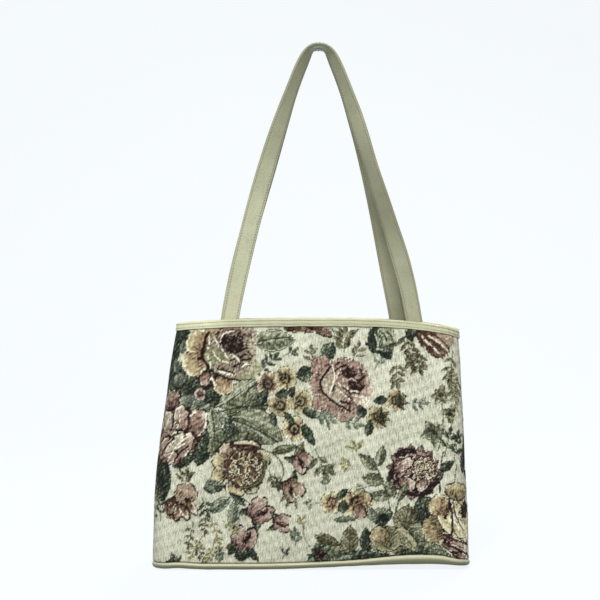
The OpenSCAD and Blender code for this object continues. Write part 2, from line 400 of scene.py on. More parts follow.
# %% Petals and leaves
def petal(cloth, at, turn, size, yarns, tones=(0.3, 0.75), edge=1.2, outline=1.1, cracks=0.12):
    """An ellipse, broader at its tip: tones from root to tip, pale ragged edge, dark outline and cracks."""
    long, wide = size
    near, a, b = cloth.local(at, turn, 0.65 * max(size) + 3)
    u = a / long
    half = 0.5 * wide * (1 + 0.35 * u)
    scallop = 0.035 * np.sin(9 * np.arctan2(b, a))
    e = np.hypot(2 * u, b / half) + 0.05 * cloth.ragged[near] + scallop
    gap = (1 - e) * 0.5 * min(size)
    line = streaks(a, b)
    tone = lerp(*tones, smooth(u + 0.5)) + 0.17 * line + 0.13 * cloth.ragged[near]
    tone = np.where((line < -0.7) & (u < cracks), 0.06, tone)
    tone = np.where((gap < edge) & (u > -0.2) & (cloth.patch[near] > -0.3), 0.95, tone)
    inside = gap > 0
    cloth.weave(near[inside], tone[inside], yarns)
    dark = near[~inside & (gap > -outline) & (cloth.patch[near] < 0.6)]
    cloth.weave(dark, -0.1, yarns)


def crescent(cloth, at, radius, way, span, thick, yarns, tones=(0.3, 0.75), edge=1.0):
    """Part of a ring round a place, thin at both ends: pale outer edge, and a dark line outside it."""
    near, a, b = cloth.local(at, way, radius + 3)
    d = np.hypot(a, b) + 0.3 * cloth.ragged[near]
    turn = np.degrees(np.arctan2(b, a)) / (0.5 * span)
    depth = thick * np.sqrt(np.clip(1 - turn ** 2, 0, 1))
    v = 1 - (radius - d) / np.maximum(depth, 0.1)
    tone = lerp(*tones, v) + 0.12 * streaks(radius * turn, d) + 0.07 * cloth.ragged[near]
    tone = np.where((radius - d < edge) & (cloth.patch[near] > -0.6), 0.97, tone)
    inside = (v > 0) & (v < 1) & (depth > 0.4)
    cloth.weave(near[inside], tone[inside], yarns)
    dark = near[(d >= radius) & (d < radius + 0.9) & (depth > 0.4)]
    cloth.weave(dark, -0.1, yarns)


def heart(cloth, at, turn, size, yarns):
    """The dark throat of a rose, with a few lighter threads."""
    near, a, b = cloth.local(at, turn, 0.7 * max(size))
    e = np.hypot(2 * a / size[0], 2 * b / size[1]) + 0.12 * cloth.ragged[near]
    inside = e < 1
    tone = -0.02 + 0.3 * smooth(2 * streaks(a, b) - 0.5)
    cloth.weave(near[inside], tone[inside], yarns)


def leaf(cloth, at, turn, size, yarns, tones=(0.25, 0.6), edge=0.0, veins=0.12, outline=0.9):
    """A lens: one half darker, thin light veins that slant from the midrib, a dark outline."""
    long, wide = size
    near, a, b = cloth.local(at, turn, 0.6 * long + 3)
    u = np.clip(a / long + 0.5, 0, 1)
    frayed = 0.4 * cloth.ragged[near] * (u > 0.02) * (u < 0.98)
    half = 0.5 * wide * np.sin(np.pi * u ** 0.85) ** 0.75 + frayed
    beside = np.abs(b)
    inside = (beside < half) & (np.abs(a) < 0.5 * long)
    around = (beside < half + outline) & (np.abs(a) < 0.5 * long + outline) & ~inside
    cloth.weave(near[around], 0.05, yarns)
    slant = a - 1.1 * beside
    tone = lerp(*tones, 0.5 + 0.5 * np.clip(b / (0.2 * wide), -1, 1))
    tone = tone + 0.24 * streaks(slant, a + beside) + 0.15 * cloth.ragged[near] + 0.1 * cloth.patch[near]
    vein = np.sin(2 * np.pi * slant / max(4.5, long / 6) + 0.8 * cloth.ragged[near])
    tone = tone + veins * np.where(vein > 0.7, 2.2, -0.3)
    if veins:
        tone = np.where(beside < 0.5, tones[0] * 0.4, tone)
    tone = np.where(half - beside < edge, 0.97, tone)
    cloth.weave(near[inside], tone[inside], yarns)


def stem(cloth, start, end, width, yarns, tone=0.2, bend=0.0):
    """A line from start to end that bows to its left by bend; a light one has short breaks."""
    start, end = np.array(start), np.array(end)
    way = end - start
    long = np.hypot(*way)
    turn = np.degrees(np.arctan2(way[1], way[0]))
    near, a, b = cloth.local((start + end) / 2, turn, 0.55 * long + abs(bend) + 2)
    off = b - bend * (1 - (2 * a / long) ** 2)
    inside = (np.abs(off) < 0.5 * width + 0.15 * cloth.ragged[near]) & (np.abs(a) < long / 2)
    whole = (tone < 0.4) | (cloth.ragged[near] > -0.75)
    cloth.weave(near[inside & whole], tone, yarns)


def strokes(cloth, yarns, tone, width, lines):
    """Bowed lines of one yarn: each has its start, its end and its bow."""
    for x0, z0, x1, z1, bow in lines:
        stem(cloth, (x0, z0), (x1, z1), width, yarns, tone, bow)


print("motifs: petal, crescent, heart, leaf, stem, strokes")

# %% [markdown]
# Small plants are put together from these. A sprig is a stem with pairs of leaves, a blossom a ring of
# petals round an eye, and a bud two petals in a cup of leaves. A ruffle is a spiral of crescents, and a
# tuft a ring of pointed leaves. Sines and seeded draws vary them, so that copies don't look stamped.

# %% Sprigs and flowers
GOLDEN_TURN = 137.5


def sprig(cloth, root, turn, long, pairs, size, yarns, tones=(0.2, 0.55), bend=0.0, spread=50):
    """A stem with pairs of small leaves, and one leaf at its tip."""
    look = {"tones": tones, "outline": 0.2, "veins": 0}
    stem(cloth, root, away(root, turn, long), 0.9, yarns, 0.2, bend)
    for k in range(1, pairs + 1):
        share = k / (pairs + 0.5)
        spot = away(away(root, turn, long * share), turn + 90, bend * (1 - (2 * share - 1) ** 2))
        for side in (-1, 1):
            way = turn + side * spread + 13 * np.sin(7 * k + 3 * side + turn)
            reach = size * (0.95 + 0.25 * np.sin(5 * k + 2 * side + root[0]))
            leaf(cloth, away(spot, way, 0.6 * reach), way, (reach, 0.38 * size), yarns, **look)
    leaf(cloth, away(root, turn, long + 0.4 * size), turn, (size, 0.42 * size), yarns, **look)


def blossom(cloth, at, size, yarns, turn=0, count=5, eye="night"):
    """Small open flower: rounded petals round a dark eye with a lighter middle."""
    r = size / 2
    for k in range(count):
        way = turn + 360 * k / count
        petal(cloth, away(at, way, 0.56 * r), way, (0.95 * r, r), yarns, (0.25, 0.75), 0.6, 0.5)
    near, a, b = cloth.local(at, 0, r)
    d = np.hypot(a, b) / r + 0.07 * cloth.ragged[near]
    for reach, yarn, tone in ((0.54, yarns, 0.2), (0.44, eye, 0.05), (0.27, yarns, 0.5), (0.15, eye, 0.1)):
        spot = near[d + 0.06 * cloth.patch[near] < reach]
        cloth.weave(spot, tone, yarn)


def bud(cloth, at, size, yarns, turn=90):
    """Half open bud: two petals over a dark throat, in a small cup of leaves."""
    for side in (-1, 1):
        cup = away(at, turn + 180 + 40 * side, 0.55 * size)
        leaf(cloth, cup, turn + 180 + 30 * side, (0.7 * size, 0.26 * size), "night", (0.1, 0.5), veins=0)
    for side, wide in ((-1, 0.5), (1, 0.6)):
        lobe = away(at, turn + 90 * side, 0.22 * size)
        petal(cloth, lobe, turn + 8 * side, (size, wide * size), yarns, (0.35, 0.8), 0.6)
    heart(cloth, away(at, turn - 60, 0.14 * size), turn - 15, (0.6 * size, 0.2 * size), yarns)
    stem(cloth, away(at, turn, -0.4 * size), away(at, turn, 0.4 * size), 1.1, yarns, 0.03, 1)


def ruffle(cloth, at, size, count, yarns, tones, thick, seed):
    """Many small curled petals on a spiral, each turned its own way."""
    draw = np.random.default_rng(seed)
    for k in range(count):
        share = 1 - k / count
        spot = away(at, GOLDEN_TURN * k, 0.42 * size * np.sqrt(share))
        radius = size * draw.uniform(0.09, 0.16)
        way, span = draw.uniform(0, 360), draw.uniform(130, 220)
        crescent(cloth, spot, radius, way, span, thick * radius, yarns, tones, 0.7)


def tuft(cloth, at, size, yarns, turn=0, count=6):
    """A ragged flower of pointed leaves, with a dark middle."""
    for k in range(count):
        way = turn + 360 * k / count + 14 * np.sin(5 * k + turn)
        long = size * (0.42 + 0.12 * np.sin(3 * k + turn))
        middle = away(at, way, 0.5 * long)
        leaf(cloth, middle, way, (long, 0.27 * size), yarns, (0.3, 0.7), veins=0, outline=0.5)
    heart(cloth, at, turn, (0.26 * size, 0.2 * size), yarns)


print("motifs: sprig, blossom, bud, ruffle, tuft")

# %% [markdown]
# Now the design itself, laid out region by region as on the bag: first the roses at the upper left with
# the foliage round them, then the upper right, the lower left and the lower right. What lies behind is
# woven first, and what lies in front covers it. Each place was set against the photograph.

# %% Upper left
def rose_high(cloth):
    """The big rose at the upper left: golden outer petals, and a mauve bowl round a dark heart."""
    petal(cloth, (-97, 212), 200, (60, 54), "mauve", (0.05, 0.1), 0.0, 0)
    petal(cloth, (-119, 231), 150, (24, 27), "gold", (0.2, 0.72), 1.8, 0.6, -0.2)
    petal(cloth, (-121, 210), 215, (30, 26), "gold", (0.2, 0.72), 1.8, 0.4, -0.2)
    petal(cloth, (-91, 187), 262, (21, 20), "gold", (0.3, 0.6), 1.0, 0.6, -0.2)
    petal(cloth, (-64, 201), 30, (30, 15), "olive", (0.65, 0.85), 0.6, 0.2, -1)
    petal(cloth, (-110, 193), 240, (14, 11), "dusty", (0.3, 0.55), 0.6)
    petal(cloth, (-102, 241), 90, (14, 20), "gold", (0.35, 0.55), 0, 0, -1)
    petal(cloth, (-68, 236), 40, (24, 24), "mauve", (0.2, 0.55), 0.6, 0.2)
    petal(cloth, (-84, 221), 250, (53, 50), "mauve", (0.3, 0.45), 0.2, 0, -1)
    petal(cloth, (-98, 213), 215, (22, 30), "olive", (0.5, 0.65), 0, 0, -1)
    petal(cloth, (-86, 204), 260, (12, 30), "mauve", (0.3, 0.5), 0, 0, -1)
    petal(cloth, (-66, 222), 0, (18, 28), "mauve", (0.3, 0.55), 0.4, 0.2, -1)
    crescent(cloth, (-82, 226), 22, 75, 100, 5, "dusty", (0.2, 0.55), 0.3)
    crescent(cloth, (-82, 229), 14, 130, 100, 3, "mauve", (0.2, 0.7), 1.0)
    heart(cloth, (-82, 229), -25, (25, 19), "mauve")
    strokes(cloth, "mauve", -0.15, 2.9, [
        (-107, 242, -111, 235, 0), (-111, 235, -114, 222, 1), (-114, 222, -113, 213, 0),
        (-113, 213, -106, 202, 1), (-119, 214, -113, 214, 0), (-107, 202, -101, 202, 0)])
    strokes(cloth, "mauve", -0.1, 2.0, [
        (-93, 233, -88, 240, 1), (-101, 238, -96, 242, 0), (-79, 219, -65, 225, 1),
        (-75, 215, -67, 219, 0), (-84, 212, -79, 214, 0), (-74, 212, -62, 214, 0),
        (-82, 205, -74, 209, 0), (-98, 203, -79, 198, 1), (-100, 199, -86, 193, 0),
        (-86, 193, -75, 192, 0), (-77, 238, -70, 235, 0), (-66, 222, -61, 216, 0)])
    strokes(cloth, "mauve", 0.98, 1.2, [
        (-107, 238, -108, 223, 1), (-108, 216, -105, 203, 1), (-102, 237, -96, 227, 0),
        (-103, 223, -100, 217, 0), (-100, 217, -94, 211, 0), (-94, 211, -84, 208, 1),
        (-93, 224, -88, 216, 0), (-88, 216, -84, 211, 0), (-84, 219, -78, 216, 0),
        (-78, 216, -74, 211, 0), (-94, 235, -88, 242, 1), (-72, 205, -66, 210, 0)])
    strokes(cloth, "mauve", 0.98, 2.0, [(-97, 201, -81, 197, 0), (-105, 196, -99, 186, 0)])
    blossom(cloth, (-116, 177), 12, "wine", 20)


def rose_edge(cloth):
    """The rose that wraps round the left edge: long mauve petals with cream edges."""
    petal(cloth, (-140, 138), 200, (60, 56), "mauve", (0.05, 0.15), 0.0, 0)
    petal(cloth, (-146, 169), 100, (22, 18), "dusty", (0.05, 0.5), 0.4)
    petal(cloth, (-166, 160), 100, (30, 24), "dusty", (0.2, 0.55), 0.6)
    heart(cloth, (-142, 160), 0, (22, 7), "mauve")
    heart(cloth, (-131, 161), 40, (10, 8), "dusty")
    petal(cloth, (-121, 144), 62, (36, 20), "dusty", (0.1, 0.55), 1.5)
    petal(cloth, (-162, 138), 120, (34, 28), "dusty", (0.35, 0.65), 0.9)
    petal(cloth, (-150, 146), 130, (26, 19), "mauve", (0.4, 0.65), 0.8)
    petal(cloth, (-135, 150), 98, (29, 15), "dusty", (0.35, 0.62), 0.8)
    petal(cloth, (-134, 121), 60, (36, 15), "dusty", (0.3, 0.62), 0.9)
    petal(cloth, (-146, 123), 52, (38, 15), "mauve", (0.4, 0.68), 0.9)
    petal(cloth, (-158, 118), 48, (36, 14), "dusty", (0.3, 0.6), 0.9)
    petal(cloth, (-150, 109), 35, (24, 10), "dusty", (0.15, 0.6), 1.0)
    strokes(cloth, "mauve", 0.98, 1.1, [
        (-156, 112, -138, 132, 2), (-150, 108, -130, 127, 2), (-138, 160, -140, 142, 2),
        (-152, 154, -156, 140, 2), (-113, 156, -110, 142, 2), (-146, 114, -128, 133, 2)])
    strokes(cloth, "mauve", -0.1, 1.8, [
        (-160, 112, -142, 131, 2), (-142, 108, -126, 124, 2), (-128, 160, -130, 138, 2),
        (-145, 156, -148, 138, 2), (-158, 150, -164, 132, 2), (-150, 128, -134, 137, 2)])


def foliage_left(cloth):
    """Dark leaves behind both roses, and the big grey-green leaves between them."""
    for x, z, turn, long, wide in [
            (-137, 236, 85, 34, 18), (-150, 226, 85, 40, 20), (-141, 195, 60, 36, 22),
            (-156, 196, 95, 44, 26), (-131, 186, 30, 36, 22), (-104, 175, 40, 30, 22),
            (-124, 172, 120, 36, 26), (-148, 178, 80, 40, 22), (-108, 141, 95, 46, 18),
            (-112, 120, 70, 34, 16), (-132, 108, 25, 26, 10), (-118, 162, 10, 30, 18),
            (-112, 188, 20, 26, 14)]:
        leaf(cloth, (x, z), turn, (long, wide), "night", (0.1, 0.4))
    for x, z, turn, long, wide in [
            (-130, 169, 30, 22, 13), (-118, 165, 60, 20, 12), (-140, 192, 50, 18, 11),
            (-112, 160, 35, 24, 9), (-136, 226, 75, 14, 7), (-144, 206, 100, 16, 8)]:
        leaf(cloth, (x, z), turn, (long, wide), "sage", (0.15, 0.5))
    leaf(cloth, (-68, 161), 14, (52, 20), "green", (0.1, 0.45))
    leaf(cloth, (-54, 143), -28, (54, 34), "green", (0.4, 0.62), veins=0.08)
    leaf(cloth, (-74, 178), 33, (50, 22), "green", (0.35, 0.7))
    leaf(cloth, (-101, 146), 98, (36, 14), "green", (0.45, 0.7), 0.8)
    leaf(cloth, (-88, 149), -55, (28, 9), "sage", (0.5, 0.85))
    leaf(cloth, (-95, 128), 62, (34, 20), "green", (0.1, 0.4), 0.7)
    leaf(cloth, (-82, 139), 110, (26, 12), "night", (0.2, 0.5))
    leaf(cloth, (-38, 233), 2, (42, 22), "green", (0.35, 0.55), 0.9)
    leaf(cloth, (-68, 131), 10, (38, 14), "green", (0.1, 0.35))
    leaf(cloth, (-57, 178), 40, (26, 14), "green", (0.3, 0.6))
    strokes(cloth, "night", 0.15, 1.3, [
        (-100, 163, -54, 190, -1), (-98, 158, -46, 166, 2), (-92, 153, -34, 128, 3),
        (-84, 134, -100, 118, 0), (-104, 160, -100, 130, 1), (-58, 231, -22, 236, 1)])
    strokes(cloth, "sage", 0.9, 1.2, [
        (-98, 165, -56, 193, -1), (-90, 168, -72, 186, 0), (-80, 172, -60, 188, 0),
        (-84, 154, -40, 145, 3), (-78, 148, -44, 130, 2), (-34, 150, -28, 134, 2),
        (-54, 230, -28, 234, 1), (-50, 238, -32, 241, 1), (-105, 152, -103, 136, 0)])


def pansies(cloth):
    """Five small flowers in tan and brown, dark sprigs above them, and rust petals under the rim."""
    sprig(cloth, (-55, 198), 46, 24, 3, 9, "night", (0.1, 0.45))
    sprig(cloth, (-28, 217), 28, 10, 1, 9, "night", (0.2, 0.55))
    blossom(cloth, (-44.5, 188), 24, "rust", 0)
    blossom(cloth, (-26.5, 194), 23, "amber", 30)
    blossom(cloth, (-32.5, 166), 23, "amber", 10)
    blossom(cloth, (-11, 170), 24, "amber", 50)
    blossom(cloth, (-17.5, 142), 25, "gold", 0)
    for x, z, turn, long, wide in [
            (-30, 178, 200, 14, 8), (-23, 153, 130, 15, 6), (-39, 152, 100, 14, 6),
            (-3, 136, -60, 24, 9), (-1, 158, -30, 18, 8), (-20, 180, 60, 10, 6), (-50, 174, 60, 18, 9)]:
        leaf(cloth, (x, z), turn, (long, wide), "night", (0.15, 0.45), veins=0)
    sprig(cloth, (0, 165), -40, 14, 2, 9, "sage", (0.2, 0.5))
    petal(cloth, (-12, 246), 0, (34, 9), "rust", (0.05, 0.45), 0.2)
    petal(cloth, (10, 244), -20, (26, 9), "rust", (0.05, 0.45), 0.2)


print("upper left drawn up")

# %% [markdown]
# The upper right has one dusty rose among thin twigs. A rose is built up in the order in which a painter
# would lay it: dark leaves, broad outer petals, softer ones over them, the dark heart, and then the dark
# and light lines that part one petal from the next.

# %% Upper right
def rose_middle(cloth):
    """The dusty rose right of the middle: broad outer petals, curled inner ones, a dark double heart."""
    leaf(cloth, (-6, 198), 200, (19, 16), "night", (0.2, 0.5))
    leaf(cloth, (18, 222), 60, (20, 15), "night", (0.25, 0.6))
    for x, z, turn, long, wide in [
            (12, 204, 130, 28, 22), (31, 208, 100, 14, 24), (46, 201, 45, 20, 24),
            (54, 188, -5, 14, 26), (14, 172, 215, 26, 20), (36, 158, 285, 17, 24),
            (26, 162, 250, 16, 22), (7, 188, 180, 16, 24)]:
        petal(cloth, (x, z), turn, (long, wide), "dusty", (0.3, 0.5), 0.3, 0.2, -0.2)
    petal(cloth, (33, 188), 200, (46, 44), "dusty", (0.4, 0.5), 0, 0, -1)
    petal(cloth, (44, 164), 300, (15, 14), "dusty", (0.25, 0.5), 0.3, 0, -1)
    petal(cloth, (19, 188), 190, (15, 28), "mauve", (0.5, 0.6), 0, 0, -1)
    petal(cloth, (29, 175), 240, (17, 20), "mauve", (0.45, 0.6), 0, 0, -1)
    petal(cloth, (57, 181), -15, (15, 13), "dusty", (0.45, 0.7), 0.6, 0, -1)
    petal(cloth, (51, 171), -35, (19, 11), "dusty", (0.5, 0.9), 1.0, 0, -1)
    heart(cloth, (39, 199), -10, (16, 12), "dusty")
    heart(cloth, (46, 187), -30, (17, 13), "dusty")
    heart(cloth, (52, 193), 60, (12, 4), "dusty")
    strokes(cloth, "dusty", -0.1, 2.4, [
        (21, 207, 14, 198, 0), (14, 198, 9, 190, 0), (9, 190, 11, 181, 0), (11, 181, 19, 173, 0),
        (19, 173, 27, 167, 0), (27, 167, 34, 164, 0), (34, 164, 41, 159, 0), (30, 170, 41, 168, 0)])
    strokes(cloth, "dusty", -0.1, 1.9, [
        (24, 207, 30, 211, 0), (24, 200, 29, 205, 0), (29, 205, 37, 208, 0), (32, 185, 41, 178, 1),
        (41, 178, 50, 178, 1), (50, 180, 56, 187, 0), (34, 178, 43, 172, 0), (22, 180, 25, 188, 0),
        (51, 204, 53, 197, 0)])
    strokes(cloth, "dusty", 0.98, 1.2, [
        (22, 208, 24, 198, 0), (24, 198, 24, 191, 0), (24, 191, 19, 178, 0), (32, 205, 27, 197, 0),
        (27, 197, 27, 191, 0), (27, 191, 31, 186, 0), (28, 182, 33, 178, 0), (33, 178, 40, 172, 0),
        (34, 186, 41, 181, 0), (41, 181, 49, 180, 0), (33, 194, 33, 190, 0), (43, 176, 53, 174, 0)])
    strokes(cloth, "dusty", 0.8, 1.4, [(36, 191, 42, 194, 0), (42, 194, 47, 190, 0)])


def ferns_right(cloth):
    """Olive twigs, the green rosebud and the striped rust rose under the rim."""
    sprig(cloth, (34, 220), 86, 20, 4, 12, "olive", (0.2, 0.45))
    sprig(cloth, (43, 211), 70, 15, 2, 9, "olive", (0.3, 0.55))
    sprig(cloth, (1, 206), 92, 16, 2, 8, "olive", (0.3, 0.55))
    sprig(cloth, (66, 203), 60, 10, 1, 9, "sage", (0.3, 0.6))
    leaf(cloth, (79, 220), -60, (15, 12), "night", (0.1, 0.4))
    petal(cloth, (74, 233), 160, (31, 28), "night", (0.5, 0.2), 0.0)
    petal(cloth, (78, 236), 60, (22, 20), "green", (0.5, 0.75), 0.4, 0.2)
    strokes(cloth, "sage", 0.9, 1.4, [
        (66, 240, 70, 226, 1), (70, 243, 76, 230, 2), (76, 230, 84, 231, 1), (74, 240, 82, 238, -1),
        (68, 224, 78, 222, 1), (84, 243, 88, 234, -1)])
    strokes(cloth, "night", 0.05, 1.6, [
        (64, 243, 67, 226, 1), (72, 242, 79, 231, 2), (79, 226, 88, 230, 1), (79, 242, 85, 236, 0),
        (67, 221, 80, 218, 1)])
    sprig(cloth, (99, 244), -80, 34, 5, 12, "olive", (0.1, 0.4))
    sprig(cloth, (88, 214), -85, 24, 3, 11, "olive", (0.2, 0.5))
    sprig(cloth, (108, 226), -75, 22, 3, 11, "olive", (0.1, 0.4))
    leaf(cloth, (105, 239), 20, (13, 10), "night", (0.05, 0.3), veins=0)
    petal(cloth, (128, 231), -38, (40, 22), "rust", (0.1, 0.3), 0.0)
    petal(cloth, (141, 234), -15, (24, 14), "rust", (0.6, 0.66), 0.0, 0.2, -1)
    strokes(cloth, "rust", 0.97, 1.6, [
        (123, 238, 145, 221, 1), (118, 234, 134, 219, 1), (116, 238, 124, 228, 0)])
    strokes(cloth, "rust", 0.06, 1.6, [
        (120, 237, 141, 220, 1), (126, 241, 147, 224, 1), (115, 232, 128, 219, 1)])
    for x, z, turn, long in [
            (151, 222, -100, 30), (141, 205, -60, 18), (158, 196, -95, 26), (147, 196, -80, 16)]:
        sprig(cloth, (x, z), turn, long, 3, 9, "olive", (0.2, 0.6))
    sprig(cloth, (154, 186), -95, 24, 3, 8, "straw", (0.1, 0.6))


def small_flowers(cloth):
    """Half dark, half golden flowers on the bare ground, and dark olive ones at the right edge."""
    for x, z, size, turn in [(88, 171, 22, 10), (69, 154, 23, 30)]:
        blossom(cloth, (x, z), size, "amber", turn, 4, "olive")
        for way in (-50, -10, 30, 75):
            leaf(cloth, away((x + 1, z - 1), way, 5), way, (12, 4.5), "olive", (0.05, 0.35), veins=0)
    for x, z, turn, long, wide in [(72, 171, 190, 13, 8), (52, 160, 110, 13, 9), (60, 143, 80, 16, 8)]:
        leaf(cloth, (x, z), turn, (long, wide), "night", (0.15, 0.4), veins=0)
    sprig(cloth, (98, 168), 0, 18, 2, 9, "sage", (0.2, 0.5))
    sprig(cloth, (28, 150), -10, 20, 2, 10, "sage", (0.2, 0.5))
    sprig(cloth, (6, 160), -30, 16, 2, 10, "sage", (0.2, 0.5))
    stem(cloth, (137, 168), (131, 118), 1.2, "olive", 0.2, 3)
    tuft(cloth, (136, 176), 24, "olive", 10)
    tuft(cloth, (146, 156), 21, "olive", 40)
    tuft(cloth, (128, 138), 30, "green", 0, 9)
    for x, z, turn, long in [(138, 112, 75, 24), (148, 106, 75, 26), (168, 150, -100, 40)]:
        sprig(cloth, (x, z), turn, long, 2, 11, "night", (0.15, 0.5))
    stem(cloth, (137, 118), (134, 62), 1.5, "night", 0.1, -2)
    stem(cloth, (152, 104), (140, 64), 1.2, "olive", 0.2, 2)
    leaf(cloth, (129, 93), 215, (18, 11), "night", (0.2, 0.5))
    leaf(cloth, (141, 103), 30, (18, 8), "night", (0.15, 0.4))
    leaf(cloth, (164, 112), 80, (34, 9), "night", (0.05, 0.3))


print("upper right drawn up")

# %% [markdown]
# The lower left has a round flower of many small flecks. To draw each fleck would be long work, so a spiral
# of little crescents stands for them, each turned by a seeded draw. Buds and thin twigs fill the rest.

# %% Lower left
def flower_brown(cloth):
    """The round flower of cream flecks in a brown net, with tan outer petals."""
    for x, z, turn, long, wide, yarns in [
            (-93, 109, 165, 18, 17, "amber"), (-95, 94, 200, 14, 15, "amber"),
            (-78, 81, 250, 16, 19, "amber"), (-62, 82, 290, 13, 13, "olive"),
            (-87, 119, 130, 15, 15, "rust"), (-68, 123, 90, 13, 28, "rust"),
            (-51, 112, 40, 14, 18, "olive")]:
        petal(cloth, (x, z), turn, (long, wide), yarns, (0.3, 0.85), 0.9)
    petal(cloth, (-68, 102), 250, (42, 41), "rust", (0.15, 0.3), 0.0)
    ruffle(cloth, (-69, 101), 40, 40, "gold", (0.15, 0.8), 0.32, 2)
    crescent(cloth, (-68, 102), 21, 160, 200, 3, "rust", (0.05, 0.3), 0.0)
    crescent(cloth, (-68, 102), 21, 320, 130, 4, "olive", (0.1, 0.5), 0.0)
    stem(cloth, (-84, 124), (-52, 121), 3.4, "rust", 0.1, 2)
    stem(cloth, (-46, 119), (-29, 103), 1.4, "olive", 0.15, 3)
    stem(cloth, (-29, 103), (-33, 86), 1.2, "olive", 0.2, 2)
    for x, z, turn in [(-38, 96, -75), (-32, 94, -95), (-44, 100, -70)]:
        sprig(cloth, (x, z), turn, 11, 1, 8, "olive", (0.1, 0.4))
    leaf(cloth, (-27, 121), 14, (26, 8), "green", (0.2, 0.5))


def buds_lower(cloth):
    """Wine red buds on their stems, with grey leaves."""
    for x, z, size, turn, yarns in [
            (-9.5, 108, 20, -50, "wine"), (-19.5, 80, 21, -60, "rust"), (-53, 57, 25, 40, "wine"),
            (-31, 45, 17, -10, "wine"), (-69, 28, 25, 80, "wine")]:
        bud(cloth, (x, z), size, yarns, turn)
    leaf(cloth, (-12, 121), 60, (16, 6), "olive", (0.2, 0.5))
    for x, z, turn in [(-24, 66, -105), (-16, 66, -75), (-29, 70, -130)]:
        leaf(cloth, (x, z), turn, (13, 3.4), "olive", (0.2, 0.5), veins=0, outline=0.2)
    leaf(cloth, (-100, 82), 5, (22, 12), "night", (0.2, 0.6))
    leaf(cloth, (-94, 64), 35, (25, 11), "sage", (0.15, 0.55), 0.7)
    leaf(cloth, (-80, 55), 82, (30, 11), "sage", (0.15, 0.55), 0.7)
    leaf(cloth, (-76, 70), 140, (20, 5), "night", (0.2, 0.5), veins=0)
    stem(cloth, (-84, 74), (-62, 64), 1.3, "night", 0.2, 2)
    leaf(cloth, (-71, 12), 10, (16, 11), "night", (0.1, 0.4))
    leaf(cloth, (-60, 12), -50, (17, 6), "night", (0.1, 0.4))
    leaf(cloth, (-82, 21), 20, (12, 6), "olive", (0.1, 0.4))
    sprig(cloth, (-16, 22), 95, 12, 2, 9, "sage", (0.15, 0.45))
    stem(cloth, (-1, 20), (-8, 46), 1, "olive", 0.3, 3)
    sprig(cloth, (-6, 40), 120, 10, 2, 6, "straw", (0.1, 0.5))
    sprig(cloth, (-30, 8), 60, 8, 1, 7, "night", (0.2, 0.5))
    sprig(cloth, (4, 122), -68, 24, 2, 15, "green", (0.15, 0.45))
    sprig(cloth, (9, 106), -35, 10, 1, 12, "green", (0.15, 0.45))


def corner_left(cloth):
    """The brown half rose at the lower left, dark leaves at the edge and a field of straw twigs."""
    for x, z, turn, long, wide in [(-154, 87, 82, 42, 16), (-166, 92, 95, 46, 20)]:
        leaf(cloth, (x, z), turn, (long, wide), "night", (0.1, 0.4))
    tuft(cloth, (-142, 4), 20, "night", 90, 7)
    sprig(cloth, (-131, 82), 80, 12, 2, 10, "olive", (0.1, 0.4))
    petal(cloth, (-142, 60), 235, (22, 22), "rust", (0.05, 0.4), 0.5)
    petal(cloth, (-130, 73), 60, (24, 22), "rust", (0.58, 0.68), 0.3)
    for x, z, turn in [(-144, 62, 255), (-138, 57, 265), (-131, 57, 295), (-124, 62, 305)]:
        petal(cloth, (x, z), turn, (17, 7), "rust", (0.1, 0.5), 1.3)
    sprig(cloth, (-113, 72), -70, 16, 2, 9, "night", (0.15, 0.45))
    sprig(cloth, (-110, 94), -60, 14, 2, 8, "sage", (0.2, 0.5))
    for x, z, turn, long, yarns in [
            (-122, 46, -100, 24, "olive"), (-104, 52, -70, 26, "straw"), (-112, 32, -120, 24, "straw"),
            (-98, 34, -80, 22, "straw"), (-120, 24, -60, 20, "olive"), (-92, 48, -40, 18, "straw"),
            (-108, 56, -95, 20, "olive"), (-100, 24, -110, 18, "straw")]:
        sprig(cloth, (x, z), turn, long, 3, 7, yarns, (0.1, 0.55))
    sprig(cloth, (-157, 46), 95, 28, 3, 8, "night", (0.2, 0.5))
    sprig(cloth, (-168, 40), 85, 30, 3, 8, "olive", (0.2, 0.5))
    leaf(cloth, (-95, 12), 90, (14, 7), "sage", (0.2, 0.5))


print("lower left drawn up")

# %% [markdown]
# The lower right is crowded: a ruffled plum flower, leafy stems, and two roses among leaves along the base.
# Most leaves differ only in place, size and yarn, so they are rows of a list that one loop weaves. The last
# region fills the strip where one repeat of the design meets the next.

# %% Lower right
def flower_plum(cloth):
    """The ruffled plum flower: dark ragged petals, lighter ones curled over, cream flecks to the right."""
    for way in range(0, 360, 24):
        leaf(cloth, away((106, 97), way, 20), way, (17, 10), "plum", (0.25, 0.55), veins=0)
    petal(cloth, (106, 97), 0, (42, 42), "plum", (0.45, 0.6), 0.0)
    for x, z, turn, long, wide in [
            (97, 117, 10, 24, 10), (85, 97, 70, 18, 10), (112, 76, 5, 28, 8), (91, 87, 140, 16, 7),
            (106, 110, -30, 16, 7), (126, 84, 50, 18, 7), (104, 94, 60, 18, 4)]:
        heart(cloth, (x, z), turn, (long, wide), "plum")
    ruffle(cloth, (106, 96), 42, 22, "plum", (0.15, 0.75), 0.5, 3)
    ruffle(cloth, (118, 101), 28, 20, "gold", (0.3, 0.9), 0.4, 4)
    petal(cloth, (95, 104), 30, (22, 10), "plum", (0.45, 0.85), 0.9)
    petal(cloth, (99, 86), -20, (18, 11), "plum", (0.45, 0.8), 0.8)
    petal(cloth, (115, 84), 230, (14, 10), "plum", (0.35, 0.8), 0.9)


